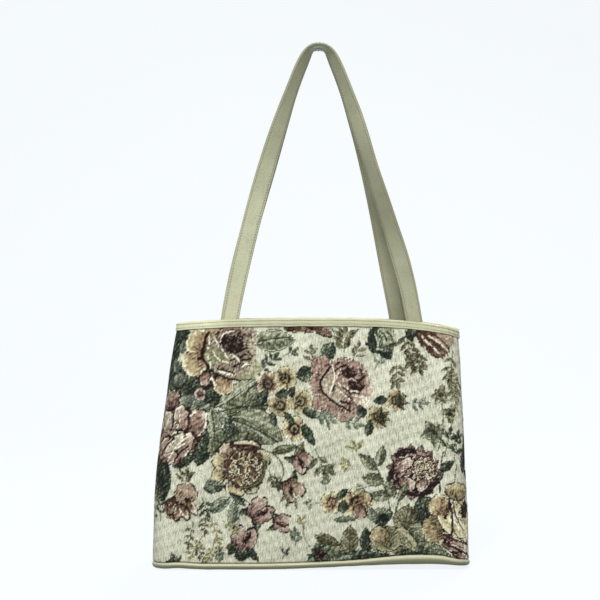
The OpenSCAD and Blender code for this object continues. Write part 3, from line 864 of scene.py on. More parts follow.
def leaves_right(cloth):
    """The leafy stem beside it, and the orange flowers."""
    stem(cloth, (83, 52), (66, 106), 1.6, "green", 0.2, -2)
    stem(cloth, (86, 52), (97, 84), 1.6, "green", 0.2, 1)
    for x, z, turn, long, wide in [
            (59, 108, 140, 23, 10), (72, 114, 75, 20, 9), (64, 90, 170, 22, 12), (71, 73, 180, 22, 10),
            (82, 81, 110, 20, 9), (95, 77, 60, 20, 7)]:
        leaf(cloth, (x, z), turn, (long, wide), "green", (0.25, 0.65))
    stem(cloth, (45, 122), (60, 96), 1.0, "straw", 0.6)
    sprig(cloth, (50, 112), 115, 12, 1, 11, "straw", (0.1, 0.7))
    sprig(cloth, (44, 104), 175, 10, 2, 8, "straw", (0.1, 0.7))
    blossom(cloth, (21, 66), 22, "gold", 0, 5, "rust")
    blossom(cloth, (48, 66), 31, "gold", 20, 5, "rust")
    petal(cloth, (55, 70), 20, (14, 12), "gold", (0.2, 0.6), 0.3)
    petal(cloth, (50, 57), 280, (14, 12), "rust", (0.3, 0.6), 0.3)
    leaf(cloth, (32, 75), 40, (14, 6), "night", (0.15, 0.4), veins=0)
    leaf(cloth, (33, 62), 80, (13, 9), "night", (0.2, 0.5), veins=0)
    leaf(cloth, (35, 49), 5, (22, 5), "sage", (0.1, 0.4), veins=0)
    sprig(cloth, (16, 77), 100, 12, 1, 8, "sage", (0.2, 0.5))
    sprig(cloth, (8, 66), 180, 10, 1, 8, "sage", (0.3, 0.6))
    sprig(cloth, (62, 84), 200, 12, 1, 7, "sage", (0.3, 0.6))


def corner_right(cloth):
    """Crowded leaves along the base, the tan rose among them, and the golden rose at the corner."""
    for x, z, turn, long, wide, yarns, low, high in [
            (118, 62, 30, 26, 20, "night", 0.1, 0.4), (112, 50, 100, 26, 16, "night", 0.15, 0.45),
            (98, 50, 80, 28, 25, "olive", 0.2, 0.5), (73, 52, 20, 23, 17, "night", 0.25, 0.65),
            (62, 55, 110, 14, 8, "sage", 0.3, 0.6), (116, 28, -40, 44, 26, "green", 0.25, 0.55),
            (126, 14, -20, 46, 18, "green", 0.15, 0.5), (104, 14, 10, 34, 16, "night", 0.1, 0.4),
            (17, 27, -20, 27, 11, "olive", 0.15, 0.45), (22, 15, 10, 36, 13, "green", 0.25, 0.6),
            (40, 28, 88, 29, 17, "olive", 0.25, 0.55), (57, 27, 92, 26, 13, "night", 0.1, 0.35),
            (50, 11, 5, 44, 11, "night", 0.1, 0.45), (76, 8, 0, 36, 9, "night", 0.1, 0.4),
            (8, 8, 160, 24, 10, "green", 0.2, 0.5), (34, 8, 20, 20, 8, "sage", 0.2, 0.6)]:
        leaf(cloth, (x, z), turn, (long, wide), yarns, (low, high))
    heart(cloth, (75, 50), 0, (11, 9), "night")
    tuft(cloth, (8, 13), 28, "night", 20, 8)
    heart(cloth, (9, 13), 20, (12, 10), "wine")
    petal(cloth, (82, 28), 175, (44, 27), "olive", (0.5, 0.7), 0.6)
    petal(cloth, (71, 31), 150, (20, 20), "amber", (0.35, 0.7), 0.8)
    petal(cloth, (91, 30), 40, (22, 16), "olive", (0.5, 0.9), 0.9)
    crescent(cloth, (78, 33), 17, 255, 130, 6, "olive", (0.35, 0.85), 1.0)
    strokes(cloth, "olive", 0.1, 1.1, [
        (80, 40, 79, 20, -3), (88, 38, 94, 18, 2), (73, 24, 90, 17, -2), (97, 30, 106, 16, 1)])
    leaf(cloth, (101, 26), -48, (26, 11), "olive", (0.5, 0.9), 0.8)
    petal(cloth, (153, 76), 80, (17, 28), "amber", (0.3, 0.75), 0.8)
    petal(cloth, (133, 62), 150, (22, 22), "gold", (0.15, 0.7), 1.4)
    petal(cloth, (129, 39), 200, (28, 28), "amber", (0.12, 0.58), 0.8)
    stem(cloth, (131, 51), (141, 36), 1.8, "rust", 0.1, 2)
    petal(cloth, (156, 44), 260, (44, 36), "gold", (0.7, 0.9), 0.6)
    middle = (159, 58)
    crescent(cloth, middle, 29, 235, 90, 8, "gold", (0.55, 0.95), 1.2)
    crescent(cloth, middle, 14, 205, 130, 5, "mauve", (0.2, 0.8), 1.2)
    strokes(cloth, "mauve", 0.98, 1.4, [
        (146, 60, 158, 32, -3), (149, 64, 163, 36, -3), (144, 50, 152, 30, -2)])
    strokes(cloth, "mauve", 0.1, 1.2, [
        (147, 66, 160, 36, -3), (145, 46, 154, 28, -2), (150, 74, 158, 62, -2)])
    heart(cloth, (162, 57), 75, (20, 12), "mauve")
    stem(cloth, (142, 70), (144, 29), 2.4, "rust", 0.04, 3)
    for x, z, long, wide in [(150, 25, 30, 8), (150, 17, 34, 8), (160, 8, 28, 8)]:
        petal(cloth, (x, z), -27, (long, wide), "dusty", (0.25, 0.7), 0.9)
    strokes(cloth, "rust", 0.04, 2.0, [(140, 31, 168, 20, 0), (137, 25, 166, 11, 0), (146, 12, 164, 3, 0)])
    leaf(cloth, (134, 12), -20, (26, 9), "green", (0.2, 0.5))


def between_repeats(cloth):
    """Loose twigs and small flowers where one repeat of the design meets the next."""
    for x, z, turn, long, yarns in [
            (180, 14, 88, 44, "olive"), (190, 104, 80, 34, "sage"), (178, 190, 95, 26, "night"),
            (194, 236, -85, 30, "olive"), (196, 60, 100, 24, "straw")]:
        sprig(cloth, (x, z), turn, long, 4, 11, yarns, (0.2, 0.55))
    blossom(cloth, (182, 84), 24, "gold", 15)
    blossom(cloth, (192, 150), 20, "rust", 40)
    bud(cloth, (184, 172), 22, "wine", 70)
    blossom(cloth, (180, 232), 22, "gold", 0)
    for x, z, turn in [(172, 92, 150), (194, 76, -20), (176, 152, 200), (190, 222, -30)]:
        leaf(cloth, (x, z), turn, (18, 8), "night", (0.15, 0.45))


REGIONS = [
    foliage_left, rose_high, rose_edge, pansies,
    rose_middle, ferns_right, small_flowers,
    flower_brown, buds_lower, corner_left,
    flower_plum, leaves_right, corner_right, between_repeats,
]


def weave_design(cloth):
    """The whole repeat of the design."""
    for region in REGIONS:
        region(cloth)


print("regions of the design:", len(REGIONS))

# %% [markdown]
# A finish is a small network of shader nodes. It could be set up node by node, but Python expressions keep
# it readable: a Wire holds one output of a node, arithmetic on wires adds the Math nodes that do it, and
# its method called node adds any other. Short methods name the nodes that are used again and again. Values
# that are the same all over a surface are set on the shader's own sockets.

# %% Shader helper
class Wire:
    """One output socket in a material's node tree."""

    def __init__(self, tree, socket):
        self.tree = tree
        self.socket = socket

    def node(self, kind, settings=None, sockets=None, out=0):
        """Adds a node: settings are set first, then values or wires go to its sockets."""
        made = self.tree.nodes.new("ShaderNode" + kind)
        for key, value in (settings or {}).items():
            if key == "stops":
                for k, (place, shade) in enumerate(value):
                    stop = made.color_ramp.elements[k] if k < 2 else made.color_ramp.elements.new(place)
                    stop.position = place
                    stop.color = (*shade, 1)
            else:
                setattr(made, key, value)
        for key, value in (sockets or {}).items():
            if isinstance(value, Wire):
                self.tree.links.new(value.socket, made.inputs[key])
            else:
                made.inputs[key].default_value = value
        return Wire(self.tree, made.outputs[out])

    def maths(self, operation, first, second):
        """One Math node on two values or wires."""
        return self.node("Math", {"operation": operation}, {0: first, 1: second})

    def __add__(self, other):
        return self.maths("ADD", self, other)

    def __sub__(self, other):
        return self.maths("SUBTRACT", self, other)

    def __rsub__(self, other):
        return self.maths("SUBTRACT", other, self)

    def __mul__(self, other):
        return self.maths("MULTIPLY", self, other)

    def __pow__(self, other):
        return self.maths("POWER", self, other)

    __radd__ = __add__
    __rmul__ = __mul__

    def sine(self):
        """Waves of -1 to 1, one for every 2 pi."""
        return self.node("Math", {"operation": "SINE"}, {0: self})

    def noise(self, scale, detail=2.0):
        """Cloudy noise of 0 to 1, read at these coordinates."""
        return self.node("TexNoise", None, {"Vector": self, "Scale": scale, "Detail": detail})

    def mixed(self, share, other, blend="MIX"):
        """This colour and another one, by share."""
        settings = {"data_type": "RGBA", "blend_type": blend}
        return self.node("Mix", settings, {0: share, 6: self, 7: other}, 2)

    def ramp(self, low, high):
        """A colour that goes from low to high as this value goes from 0 to 1."""
        return self.node("ValToRGB", {"stops": [(0, low), (1, high)]}, {0: self}, "Color")

    def bump(self, strength, distance):
        """The surface's direction, as if this value raised it by up to distance metres."""
        return self.node("Bump", None, {"Strength": strength, "Distance": distance, "Height": self})

    def value_at(self, name, out="Fac"):
        """A value or colour that the mesh keeps at its points."""
        return self.node("Attribute", {"attribute_name": name}, None, out)

    def axis(self, name):
        """One of the three coordinates."""
        return self.node("SeparateXYZ", None, {0: self}, name)


def to_linear(c):
    """Screen values of 0 to 1 as the linear light that shaders use."""
    return np.where(c <= 0.04045, c / 12.92, ((c + 0.055) / 1.055) ** 2.4)


def linear(red, green, blue):
    """A screen colour, 0 to 255, as linear light."""
    return tuple(to_linear(np.array([red, green, blue]) / 255))


def darker(share, shade):
    """A screen colour as linear light with its opacity, at a share of its brightness."""
    return (*[share * c for c in linear(*shade)], 1)


def new_finish(name, place="Object", **fixed):
    """A material with its main shader, and the coordinates that its patterns read."""
    material = bpy.data.materials.new(name)
    material.use_nodes = True
    tree = material.node_tree
    shader = tree.nodes["Principled BSDF"]
    for key, value in fixed.items():
        shader.inputs[key.replace("_", " ")].default_value = value
    start = Wire(tree, None).node("TexCoord", None, None, place)
    return material, start, shader


def feed(shader, socket, wire):
    """Joins a wire to one of the shader's sockets."""
    shader.id_data.links.new(wire.socket, shader.inputs[socket])


print("screen grey 128 is", round(float(linear(128, 128, 128)[0]), 3), "as linear light")

# %% [markdown]
# The leather is a pale khaki cowhide with a fine grain and a soft sheen. A picture of hide would repeat, so
# small cells make its grain, and clouds of noise keep it from looking like plastic. Pieces carry two values
# of painted light and shade that this finish reads: crease_shade, painted shade in folds, seams, undersides
# and stitch rows, and on the rim and the straps painted_light_and_shade, painted shade and painted light.

# %% Leather
CELLS, PORES, CLOUDS, SMUDGES = 900.0, 2600.0, 34.0, 11.0


def leather(name, shade, dark, roughness):
    """Clouded base colour with the pieces' painted light and shade, darker in grain pits; grain of small
    cells as bump.
    """
    material, place, shader = new_finish(name, Specular_IOR_Level=0.42, Sheen_Weight=0.06)
    cell_size = {"Vector": place, "Scale": CELLS, "Randomness": 0.9}
    cells = place.node("TexVoronoi", {"feature": "F1"}, cell_size, "Distance")
    pores = place.noise(PORES)
    clouds = place.noise(CLOUDS, 4.0)
    smudges = place.noise(SMUDGES, 3.0)
    crease_shade = place.value_at("crease_shade")
    # Painted light and shade: the piece's value moves the clouded colour towards dark, or back towards the
    # pale shade.
    mottle_and_shade = clouds * 0.5 + smudges * 0.5 - 0.38 + place.value_at("painted_light_and_shade")
    colour = place.node("RGB")
    colour.socket.default_value = darker(1, shade)
    colour = colour.mixed(mottle_and_shade, darker(1, dark))
    # Painted shade: crease_shade darkens folds, seams, undersides and stitch rows.
    colour = colour.mixed(crease_shade * 0.75, darker(0.3, dark))
    colour = colour.mixed((cells ** 2) * 0.5, darker(0.6, dark))
    feed(shader, "Base Color", colour)
    feed(shader, "Roughness", roughness + 0.22 * (clouds - 0.5) + 0.1 * crease_shade)
    feed(shader, "Normal", (cells * 0.7 + pores * 0.3).bump(0.4, 0.0003))
    return material


binding_leather = leather("binding_leather", (223, 224, 188), (176, 176, 139), 0.42)
strap_leather = leather("strap_leather", (202, 204, 170), (134, 135, 110), 0.44)
piping_leather = leather("piping_leather", (194, 195, 160), (168, 168, 133), 0.38)
base_leather = leather("base_leather", (186, 186, 150), (160, 159, 124), 0.5)
print("leathers made:", binding_leather.name, strap_leather.name, piping_leather.name, base_leather.name)

# %% [markdown]
# Sewing thread is twisted, so each stitch shows slanted lines across it. It is darker than the leather and
# slightly shiny. The twist is far too fine to model, so a wave on a slant gives its stripes, half a
# millimetre apart. FINE is how many radians such a wave turns in a metre.

# %% Thread
FINE = 9000.0


def thread_finish():
    """Fine slanted stripes, as of a twisted yarn."""
    material, place, shader = new_finish("thread", Roughness=0.55, Sheen_Weight=0.2)
    slant = (place.axis("X") + place.axis("Z")) * FINE
    twist = slant.sine() * 0.5 + 0.5
    # Painted shade: the stripes of the twist are drawn as dark and light colour.
    feed(shader, "Base Color", twist.ramp(linear(86, 84, 66), linear(122, 120, 96)))
    return material


thread = thread_finish()
print("thread made")

# %% [markdown]
# The lining is a plain cotton in a muted stone colour. Its weave is a fine grid of crossing threads, too
# small to model, so the shader makes it from two crossing waves.

# %% Lining cloth
def cotton_finish():
    """Plain weave: threads across and along, lighter where they cross over."""
    material, place, shader = new_finish("lining_cloth", Roughness=0.9, Sheen_Weight=0.15)
    across = (place.axis("X") * FINE + place.axis("Y") * FINE).sine()
    along = (place.axis("Z") * FINE).sine()
    weave = across * along * 0.5 + 0.5
    clouds = place.noise(22.0, 4.0)
    tone = weave * 0.45 + clouds * 0.6
    # Painted highlight: the weave is lighter where threads cross over; the clouds are the cloth's own
    # uneven tone.
    feed(shader, "Base Color", tone.ramp(linear(150, 144, 120), linear(186, 180, 154)))
    feed(shader, "Normal", weave.bump(0.3, 0.0002))
    return material


lining_cloth = cotton_finish()
print("lining cloth made")

# %% [markdown]
# The tapestry's colours are woven, point by point, by the painter and stored on the mesh. The shader adds
# what is finer than a point: ribs of warp two millimetres apart, the weft that crosses them, and threads
# that differ a little in shade. Its coordinates are millimetres on the flat cloth, kept as a UV map, so
# that the ribs follow the cloth round the corners. RIBS and WEFT are how many radians their waves turn in
# a millimetre.

# %% Tapestry finish
RIBS, WEFT = 3.3, 8.6


def tapestry_finish():
    """The woven colour, times the shading of ribs and threads, with ribs and threads as bump."""
    material, place, shader = new_finish("tapestry", "UV", Roughness=0.9, Specular_IOR_Level=0.15)
    woven = place.value_at("woven", "Color")
    wander = place.noise(0.22)
    ribs = ((place.axis("X") + wander * 1.1) * RIBS).sine() * 0.5 + 0.5
    weft = ((place.axis("Y") + ribs * 0.35) * WEFT).sine() * 0.5 + 0.5
    stretched = place.node("Mapping", None, {"Vector": place, "Scale": (1.0, 0.16, 1.0)})
    threads = stretched.noise(1.15, 3.0)
    shade = 0.7 + ribs * 0.14 + weft * 0.06 + threads * 0.4
    grey = place.node("CombineColor", None, {0: shade, 1: shade, 2: shade})
    feed(shader, "Base Color", woven.mixed(1.0, grey, "MULTIPLY"))
    height = ribs * 0.6 + weft * 0.3 + threads * 0.5
    feed(shader, "Normal", height.bump(0.35, 0.0006))
    return material


tapestry = tapestry_finish()
print("tapestry finish made")

# %% [markdown]
# The two tapestry panels run from side seam to side seam. Their outer face is a dense grid, about a
# millimetre between points, because the design is stored on the points. Their inner face needs no such
# detail: it has one point for every four, and strips of faces with more corners join the two at the edges.

# %% Tapestry panels
PANEL_SIDE, PANEL_CORNER, PANEL_FRONT, PANEL_ROWS = 18, 36, 276, 228
COARSE = 4
MOTIF_RAISED, SEAM_DEEP, SEAM_WIDE, YARN_BLUR = 0.28, 1.1, 2.2, 0.1


def blurred(grid):
    """Each value of rows and columns as the mean of itself and its eight neighbours."""
    rows, columns = grid.shape[:2]
    r = np.clip(np.arange(-1, rows + 1), 0, rows - 1)
    c = np.clip(np.arange(-1, columns + 1), 0, columns - 1)
    wide = grid[r][:, c]
    return sum(wide[i:i + rows, j:j + columns] for i in range(3) for j in range(3)) / 9


def edge_strip(fine, coarse):
    """Faces between an edge of the fine grid and the same edge of the coarse one."""
    steps = len(coarse) - 1
    return [[*fine[k * COARSE:(k + 1) * COARSE + 1], coarse[k + 1], coarse[k]] for k in range(steps)]


def both_faces(fine, coarse):
    """What the outer grid's points hold, and then what the inner grid's points hold, as one list."""
    return np.concatenate([grid.reshape(-1, grid.shape[-1]) for grid in (fine, coarse)])


def panel(name, stations, design_shift):
    """One half of the body: the wall's face, with the design woven on it, and the sheet's inner face."""
    s = stations(PANEL_SIDE, PANEL_CORNER, PANEL_FRONT)
    t = np.linspace(0, 1, PANEL_ROWS + 1)[:, None]
    face = wall(s, t, 0)
    middle = face.shape[1] // 2
    steps = np.hypot(*np.moveaxis(np.diff(face[..., :2], axis=1), -1, 0))
    along = np.concatenate([np.zeros((len(t), 1)), np.cumsum(steps, 1)], 1)
    facing = 1 if s[1].min() < 0 else -1
    x = along - along[:, middle:middle + 1] + facing * face[:, middle:middle + 1, 0]
    z = face[..., 2] + 0 * x
    cloth = Cloth(x.ravel() + design_shift, z.ravel() - DESIGN_RISE)
    weave_design(cloth)
    raised = blurred(blurred(cloth.raised.reshape(x.shape)))
    seam = np.exp(-(np.minimum(along, along[:, -1:] - along) / SEAM_WIDE) ** 2)
    face = wall(s, t, MOTIF_RAISED * raised - SEAM_DEEP * seam)
    inner = wall(s[:, ::COARSE], t[::COARSE], -TAPESTRY_T)
    rows, columns = x.shape
    fine = np.arange(rows * columns).reshape(rows, columns)
    coarse = rows * columns + np.arange(inner.shape[0] * inner.shape[1]).reshape(inner.shape[:2])
    faces = [*grid_faces(rows, columns), *(grid_faces(*inner.shape[:2])[:, ::-1] + rows * columns)]
    faces += edge_strip(fine[0][::-1], coarse[0][::-1]) + edge_strip(fine[-1], coarse[-1])
    faces += edge_strip(fine[:, 0], coarse[:, 0]) + edge_strip(fine[::-1, -1], coarse[::-1, -1])
    woven = cloth.colour.reshape(rows, columns, 3)
    woven = to_linear(lerp(woven, blurred(woven), YARN_BLUR))
    flat = np.stack([x, z], -1)
    points = both_faces(face, inner)
    uv = both_faces(flat, flat[::COARSE, ::COARSE])
    colour = both_faces(woven, woven[::COARSE, ::COARSE])
    return put_mesh(name, points, faces, tapestry, uv, {"woven": colour})


front_cloth = panel("tapestry_front", front_stations, 0)
back_cloth = panel("tapestry_back", back_stations, REPEAT / 2)

# %% [markdown]
# The lining is a loose sack of cotton. From above we see it inside the mouth. A thin copy of the wall would
# look too stiff there, so it gets its own soft wrinkles. Its surface goes from the middle of its floor out
# and up the wall, over the top edge, and back down inside.

# %% Lining
LINING_ROWS, FLOOR_ROWS, POLE, WRINKLE = 41, 10, 0.02, 0.9


def lining_sheet():
    """Loops of points from the floor's middle outwards, up, over and down inside to the middle again."""
    ring = ring_stations(6, 10, 60)
    floor_z = BASE_T + FIT
    levels = np.linspace(0, 1, LINING_ROWS)
    shares = np.linspace(POLE, 1, FLOOR_ROWS)

    def inside(t):
        """The inner face at a level, with wrinkles that fade out towards the floor and the rim."""
        x, y, z = np.moveaxis(wall(ring, t, LINING_IN), -1, 0)
        deep = np.sin(np.pi * np.clip(t / 0.84, 0, 1)) ** 0.8
        loose = WRINKLE * deep * (waves(around_bag(x, y), z * 0.35, 34, 21) - 1)
        return wall(ring, t, LINING_IN + loose)

    outer = [wall_by_base(ring, floor_z, BASE_EDGE, k) for k in shares]
    outer += [wall_by_base(ring, SEAM_Z, BASE_EDGE)]
    outer += [wall(ring, t, LINING_OUT) for t in levels]
    inner = [inside(t) for t in levels[:0:-1]]
    inner += [wall_by_base(ring, SEAM_Z + LINING_T, LINING_IN)]
    inner += [wall_by_base(ring, SEAM_Z + LINING_T, BASE_EDGE - LINING_T)]
    inner += [wall_by_base(ring, floor_z + LINING_T, BASE_EDGE - LINING_T, k) for k in shares[::-1]]
    loops = np.stack(outer + inner)
    return put_mesh("lining_sack", loops, capped_faces(*loops.shape[:2]), lining_cloth)


lining_sack = lining_sheet()

# %% [markdown]
# The rim is bound with one strip of leather, folded over the edges of tapestry and lining and sewn through
# with two rows of stitches. The stitches pull the leather down into two grooves. A bevelled strip would
# lose those, so a section is drawn as a loop and carried round the rim: up the outer face, over the crown
# and down the inner face, then back along the inside of the fold.

# %% Rim binding
RIM_TOP = FIT + BINDING_T
ROW_HIGH, ROW_LOW = RIM_TOP - 2.6, 2.1 - BINDING_H
CROWN_H, CUT_EDGE, CUT_SLOPE, LOWER_LIP = 1.6, 0.3, 0.2, 0.35
GROOVE_DEEP, GROOVE_WIDE, FACE_SWELL = 0.28, 0.55, 0.12
STITCH_PITCH, PUCKER, SWAY, LIFT = 2.9, 0.1, 0.2, 0.15


def groove(rise):
    """1 in a stitch row and 0 away from it."""
    return sum(np.exp(-((rise - row) / GROOVE_WIDE) ** 2) for row in (ROW_HIGH, ROW_LOW))


def stitch_holes(length):
    """1 where the thread goes through, once for every stitch, and 0 between."""
    return (0.5 + 0.5 * np.cos(2 * np.pi * length / STITCH_PITCH)) ** 2


def stitch_pucker(length):
    """How far the leather is pushed out and drawn in along a row, once for every stitch."""
    return PUCKER * np.sin(2 * np.pi * length / STITCH_PITCH)


def binding_section():
    """Offsets and rises of the folded strip: rounded crown and lower edges, a groove for each row."""
    up = np.linspace(-BINDING_H + LOWER_LIP, RIM_TOP - CROWN_H, 26)
    swell = FACE_SWELL * np.sin(np.pi * (up + BINDING_H) / (BINDING_H + RIM_TOP))
    outer = BINDING_OUT - GROOVE_DEEP * groove(up) + swell
    inner_face = BINDING_IN - BINDING_T
    arc = np.linspace(0, np.pi, 11)[1:-1]
    middle, half = (BINDING_OUT + inner_face) / 2, (BINDING_OUT - inner_face) / 2
    crown = np.stack([middle + half * np.cos(arc), RIM_TOP - CROWN_H + CROWN_H * np.sin(arc) ** 0.8], -1)
    down = up[::-1]
    inner = inner_face + GROOVE_DEEP * groove(down)
    fold = [
        [inner_face + CUT_EDGE, -BINDING_H],
        [BINDING_IN - CUT_SLOPE, -BINDING_H],
        [BINDING_IN, -BINDING_H + CUT_EDGE],
        [BINDING_IN, FIT],
        [FIT, FIT],
        [FIT, -BINDING_H + CUT_EDGE],
        [FIT + CUT_SLOPE, -BINDING_H],
        [BINDING_OUT - CUT_EDGE, -BINDING_H],
    ]
    return np.concatenate([np.stack([outer, up], -1), crown, np.stack([inner, down], -1), fold])


def rim_painted_light(x):
    """Painted light and shade on the rim: darker in its middle, and lightest at its left end, a painted
    light against the shade where the wall turns away.
    """
    return 0.45 + 0.22 * np.exp(-(x / 90) ** 2) - 0.65 * smooth((-70 - x) / 50)


def bound_rim():
    """The section carried round the rim; between stitches the leather puckers a little."""
    ring = ring_stations(14, 60, 330)
    section = binding_section()
    off, rise = section[:, 0][:, None], section[:, 1][:, None]
    length = length_along(wall_by_rim(ring, 0, 0))
    pucker = stitch_pucker(length) * groove(rise)
    sway = SWAY * waves(length, 0 * length, 40, 31) * (rise < 0)
    lift = LIFT * waves(length, 0 * length, 25, 32)
    outward = np.where(off > (BINDING_OUT + BINDING_IN) / 2, 1, -1)
    points = wall_by_rim(ring, rise + lift, off + outward * pucker + sway)
    # Painted shade: darker in both stitch rows, most at the holes, and along the binding's lower edge.
    rows_dark = groove(rise) * (0.1 + 0.25 * stitch_holes(length))
    crease_shade = np.clip(rows_dark + np.exp(-(rise + BINDING_H) / 0.5), 0, 1)
    faces = grid_faces(*points.shape[:2], True, True)
    values = {"crease_shade": crease_shade, "painted_light_and_shade": rim_painted_light(points[..., 0])}
    return put_mesh("bound_rim", points, faces, binding_leather, values=values)


bound_rim_piece = bound_rim()

# %% [markdown]
# A stitch is a short piece of thread that dives into the leather at both ends. Painted dots would not catch
# the light as thread does, so each stitch is a rod. Hundreds of them repeat on every piece, so a rod has
# only five sides and is thin at its ends. All stitches of a piece form one mesh, worked out in one go.

# %% Stitches
STITCH_LONG, STITCH_WIDE, STITCH_FLAT, STITCH_SIDES = 1.5, 0.95, 0.8, 5
HIGH_SUNK, LOW_SUNK = 0.12, 0.3


def read_along(values, gone, at):
    """Values known at the lengths gone along a line, read at other lengths."""
    return np.stack([np.interp(at, gone, values[:, k]) for k in range(3)], -1)


def stitch_mesh(name, rows):
    """Rods set along rows: each row is a line of points and the directions that the surface faces."""
    ends = np.array([-1, -0.55, 0.55, 1])
    girth = np.array([0.35, 1, 1, 0.35])
    rise = np.array([-0.3, 0.08, 0.08, -0.3])
    round_turn = np.arange(STITCH_SIDES) * 2 * np.pi / STITCH_SIDES
    places, ways, normals = [], [], []
    for line, facing in rows:
        gone = length_along(line)
        at = np.arange(STITCH_PITCH / 2, gone[-1], STITCH_PITCH)
        way = read_along(line, gone, at + 0.5) - read_along(line, gone, at - 0.5)
        places.append(read_along(line, gone, at))
        ways.append(unit(way))
        normals.append(read_along(facing, gone, at))
    place, way, normal = (np.concatenate(v)[:, None, None] for v in (places, ways, normals))
    normal = unit(normal)
    side = np.cross(way, normal)
    along = ends[:, None, None] * STITCH_LONG / 2
    radius = girth[:, None, None] * STITCH_WIDE / 2
    high = rise[:, None, None]
    c, s = np.cos(round_turn)[:, None], np.sin(round_turn)[:, None]
    points = place + way * along + side * radius * c + normal * (high + radius * s * STITCH_FLAT)
    count, rings, sides = points.shape[:3]
    first = np.arange(count)[:, None, None] * rings * sides
    quads = grid_faces(rings, sides, round_columns=True)
    caps = np.stack([np.arange(sides)[::-1], np.arange(sides) + (rings - 1) * sides])
    faces = [*(quads + first).reshape(-1, 4), *(caps + first).reshape(-1, sides)]
    return put_mesh(name, points, faces, thread)


def rim_rows():
    """Two rows on the outer face of the binding and two on its inner face."""
    ring = ring_stations(14, 40, 220)
    ring = np.concatenate([ring, ring[:, :1]], axis=1)
    facing = facing_at(ring)
    rows = []
    for rise, depth in ((ROW_HIGH, HIGH_SUNK), (ROW_LOW, LOW_SUNK)):
        rows.append((wall_by_rim(ring, rise, BINDING_OUT - depth), facing))
        rows.append((wall_by_rim(ring, rise, BINDING_IN - BINDING_T + depth), -facing))
    return rows


rim_stitches = stitch_mesh("rim_stitches", rim_rows())

# %% [markdown]
# The piping is a cord wrapped in leather and caught in the seam between base and body. A curve with a round
# bevel would make it too, but here its height and thickness follow the bowed seam. It is a tube along the
# base outline, a little uneven as hand-fed piping is, and the base leather lies inside it.

# %% Piping and base
PIPING_UNEVEN = 0.05
SEAM_TURN, SEAM_SHADE = 1.9, 0.35
BASE_FLAT, BASE_ROUND, BASE_LIP = 0.985, 0.997, 0.3


def piping_tube():
    """A circle carried round the base; its size wavers slowly, and painted shade darkens its seam and its
    lower half.
    """
    ring = ring_stations(12, 20, 120)
    line = wall_by_base(ring, PIPING_D / 2, PIPING_MID)
    turn = np.linspace(0, 2 * np.pi, 20, endpoint=False)[:, None]
    uneven = 1 - PIPING_UNEVEN * (1 + waves(line[:, 0], line[:, 1], 30, 41)) / 2
    radius = PIPING_D / 2 * uneven
    drawn = 1 + seam_rise(line[:, 0], line[:, 1]) / SEAM_Z
    rise = (drawn * radius * np.sin(turn))[..., None] * [0, 0, 1]
    points = line + (radius * np.cos(turn))[..., None] * facing_at(ring) + rise
    # Painted shade: the lower half of the tube, and the seam where it meets the body, are darkened.
    foot = 1.2 * smooth((0.5 - (turn + np.pi) % (2 * np.pi) + np.pi) / 0.6)
    crease_shade = np.exp(-((turn - SEAM_TURN) / SEAM_SHADE) ** 2) + foot + 0 * radius
    faces = grid_faces(*points.shape[:2], True, True)
    return put_mesh("piping_tube", points, faces, piping_leather, values={"crease_shade": crease_shade})


def base_sheet():
    """Rings from the middle of the upper face out to the rounded edge and back under to the middle."""
    ring = ring_stations(8, 12, 60)
    shares = np.linspace(POLE, BASE_FLAT, 16)
    section = [(k, BASE_T) for k in shares]
    section += [(BASE_ROUND, BASE_T - BASE_LIP), (1, BASE_T / 2), (BASE_ROUND, BASE_LIP)]
    section += [(k, 0) for k in shares[::-1]]
    loops = np.stack([wall_by_base(ring, height, BASE_EDGE, share) for share, height in section])
    rows, columns = loops.shape[:2]
    # Painted shade: darker towards the rounded edge.
    crease_shade = np.repeat(np.clip((np.array([s for s, _ in section]) - 0.95) * 20, 0, 1), columns)
    faces = capped_faces(rows, columns)
    return put_mesh("base_sheet", loops, faces, base_leather, values={"crease_shade": crease_shade})


piping_piece = piping_tube()
base_piece = base_sheet()

# %% [markdown]
# A strap is a folded leather strip, sewn along both edges. It starts inside the rim, where it lies flat
# against the wall, rises in a long curve and turns a quarter on the way, so that at the top it lies level.
# Front and back strap share one arch near the top and part towards the rim. A simulated strip would have to
# be hung up and left to settle, so the middle line is a Bezier curve instead, and the strap's section is
# carried along it with a turn that grows towards the top.

# %% The way that a strap takes
STRAP_W, STRAP_DROP, STRAP_SHIFT, STRAP_SEWN, HANG_X = 19, 290, 4.5, 30, 8.5
FRONT_PITCH, BACK_PITCH = 193.5, 182.5
LEG_REACH, LEG_RISE, TOP_REACH, TOP_ROUND, TOP_LEAN = 0.84, 0.33, 0.225, 0.65, 0.32
PART_START, PART_END, TURN_START, TURN_EASE = 0.08, 0.485, 0.2, 1.2
FRONT_LEAN, BACK_LATE = 0.55, 0.08
LEG_STEPS, SEWN_STEPS = 380, 30


def bezier(a, b, c, d, u):
    """The cubic curve from a to d that b and c pull."""
    return a * (1 - u) ** 3 + 3 * b * u * (1 - u) ** 2 + 3 * c * u * u * (1 - u) + d * u ** 3


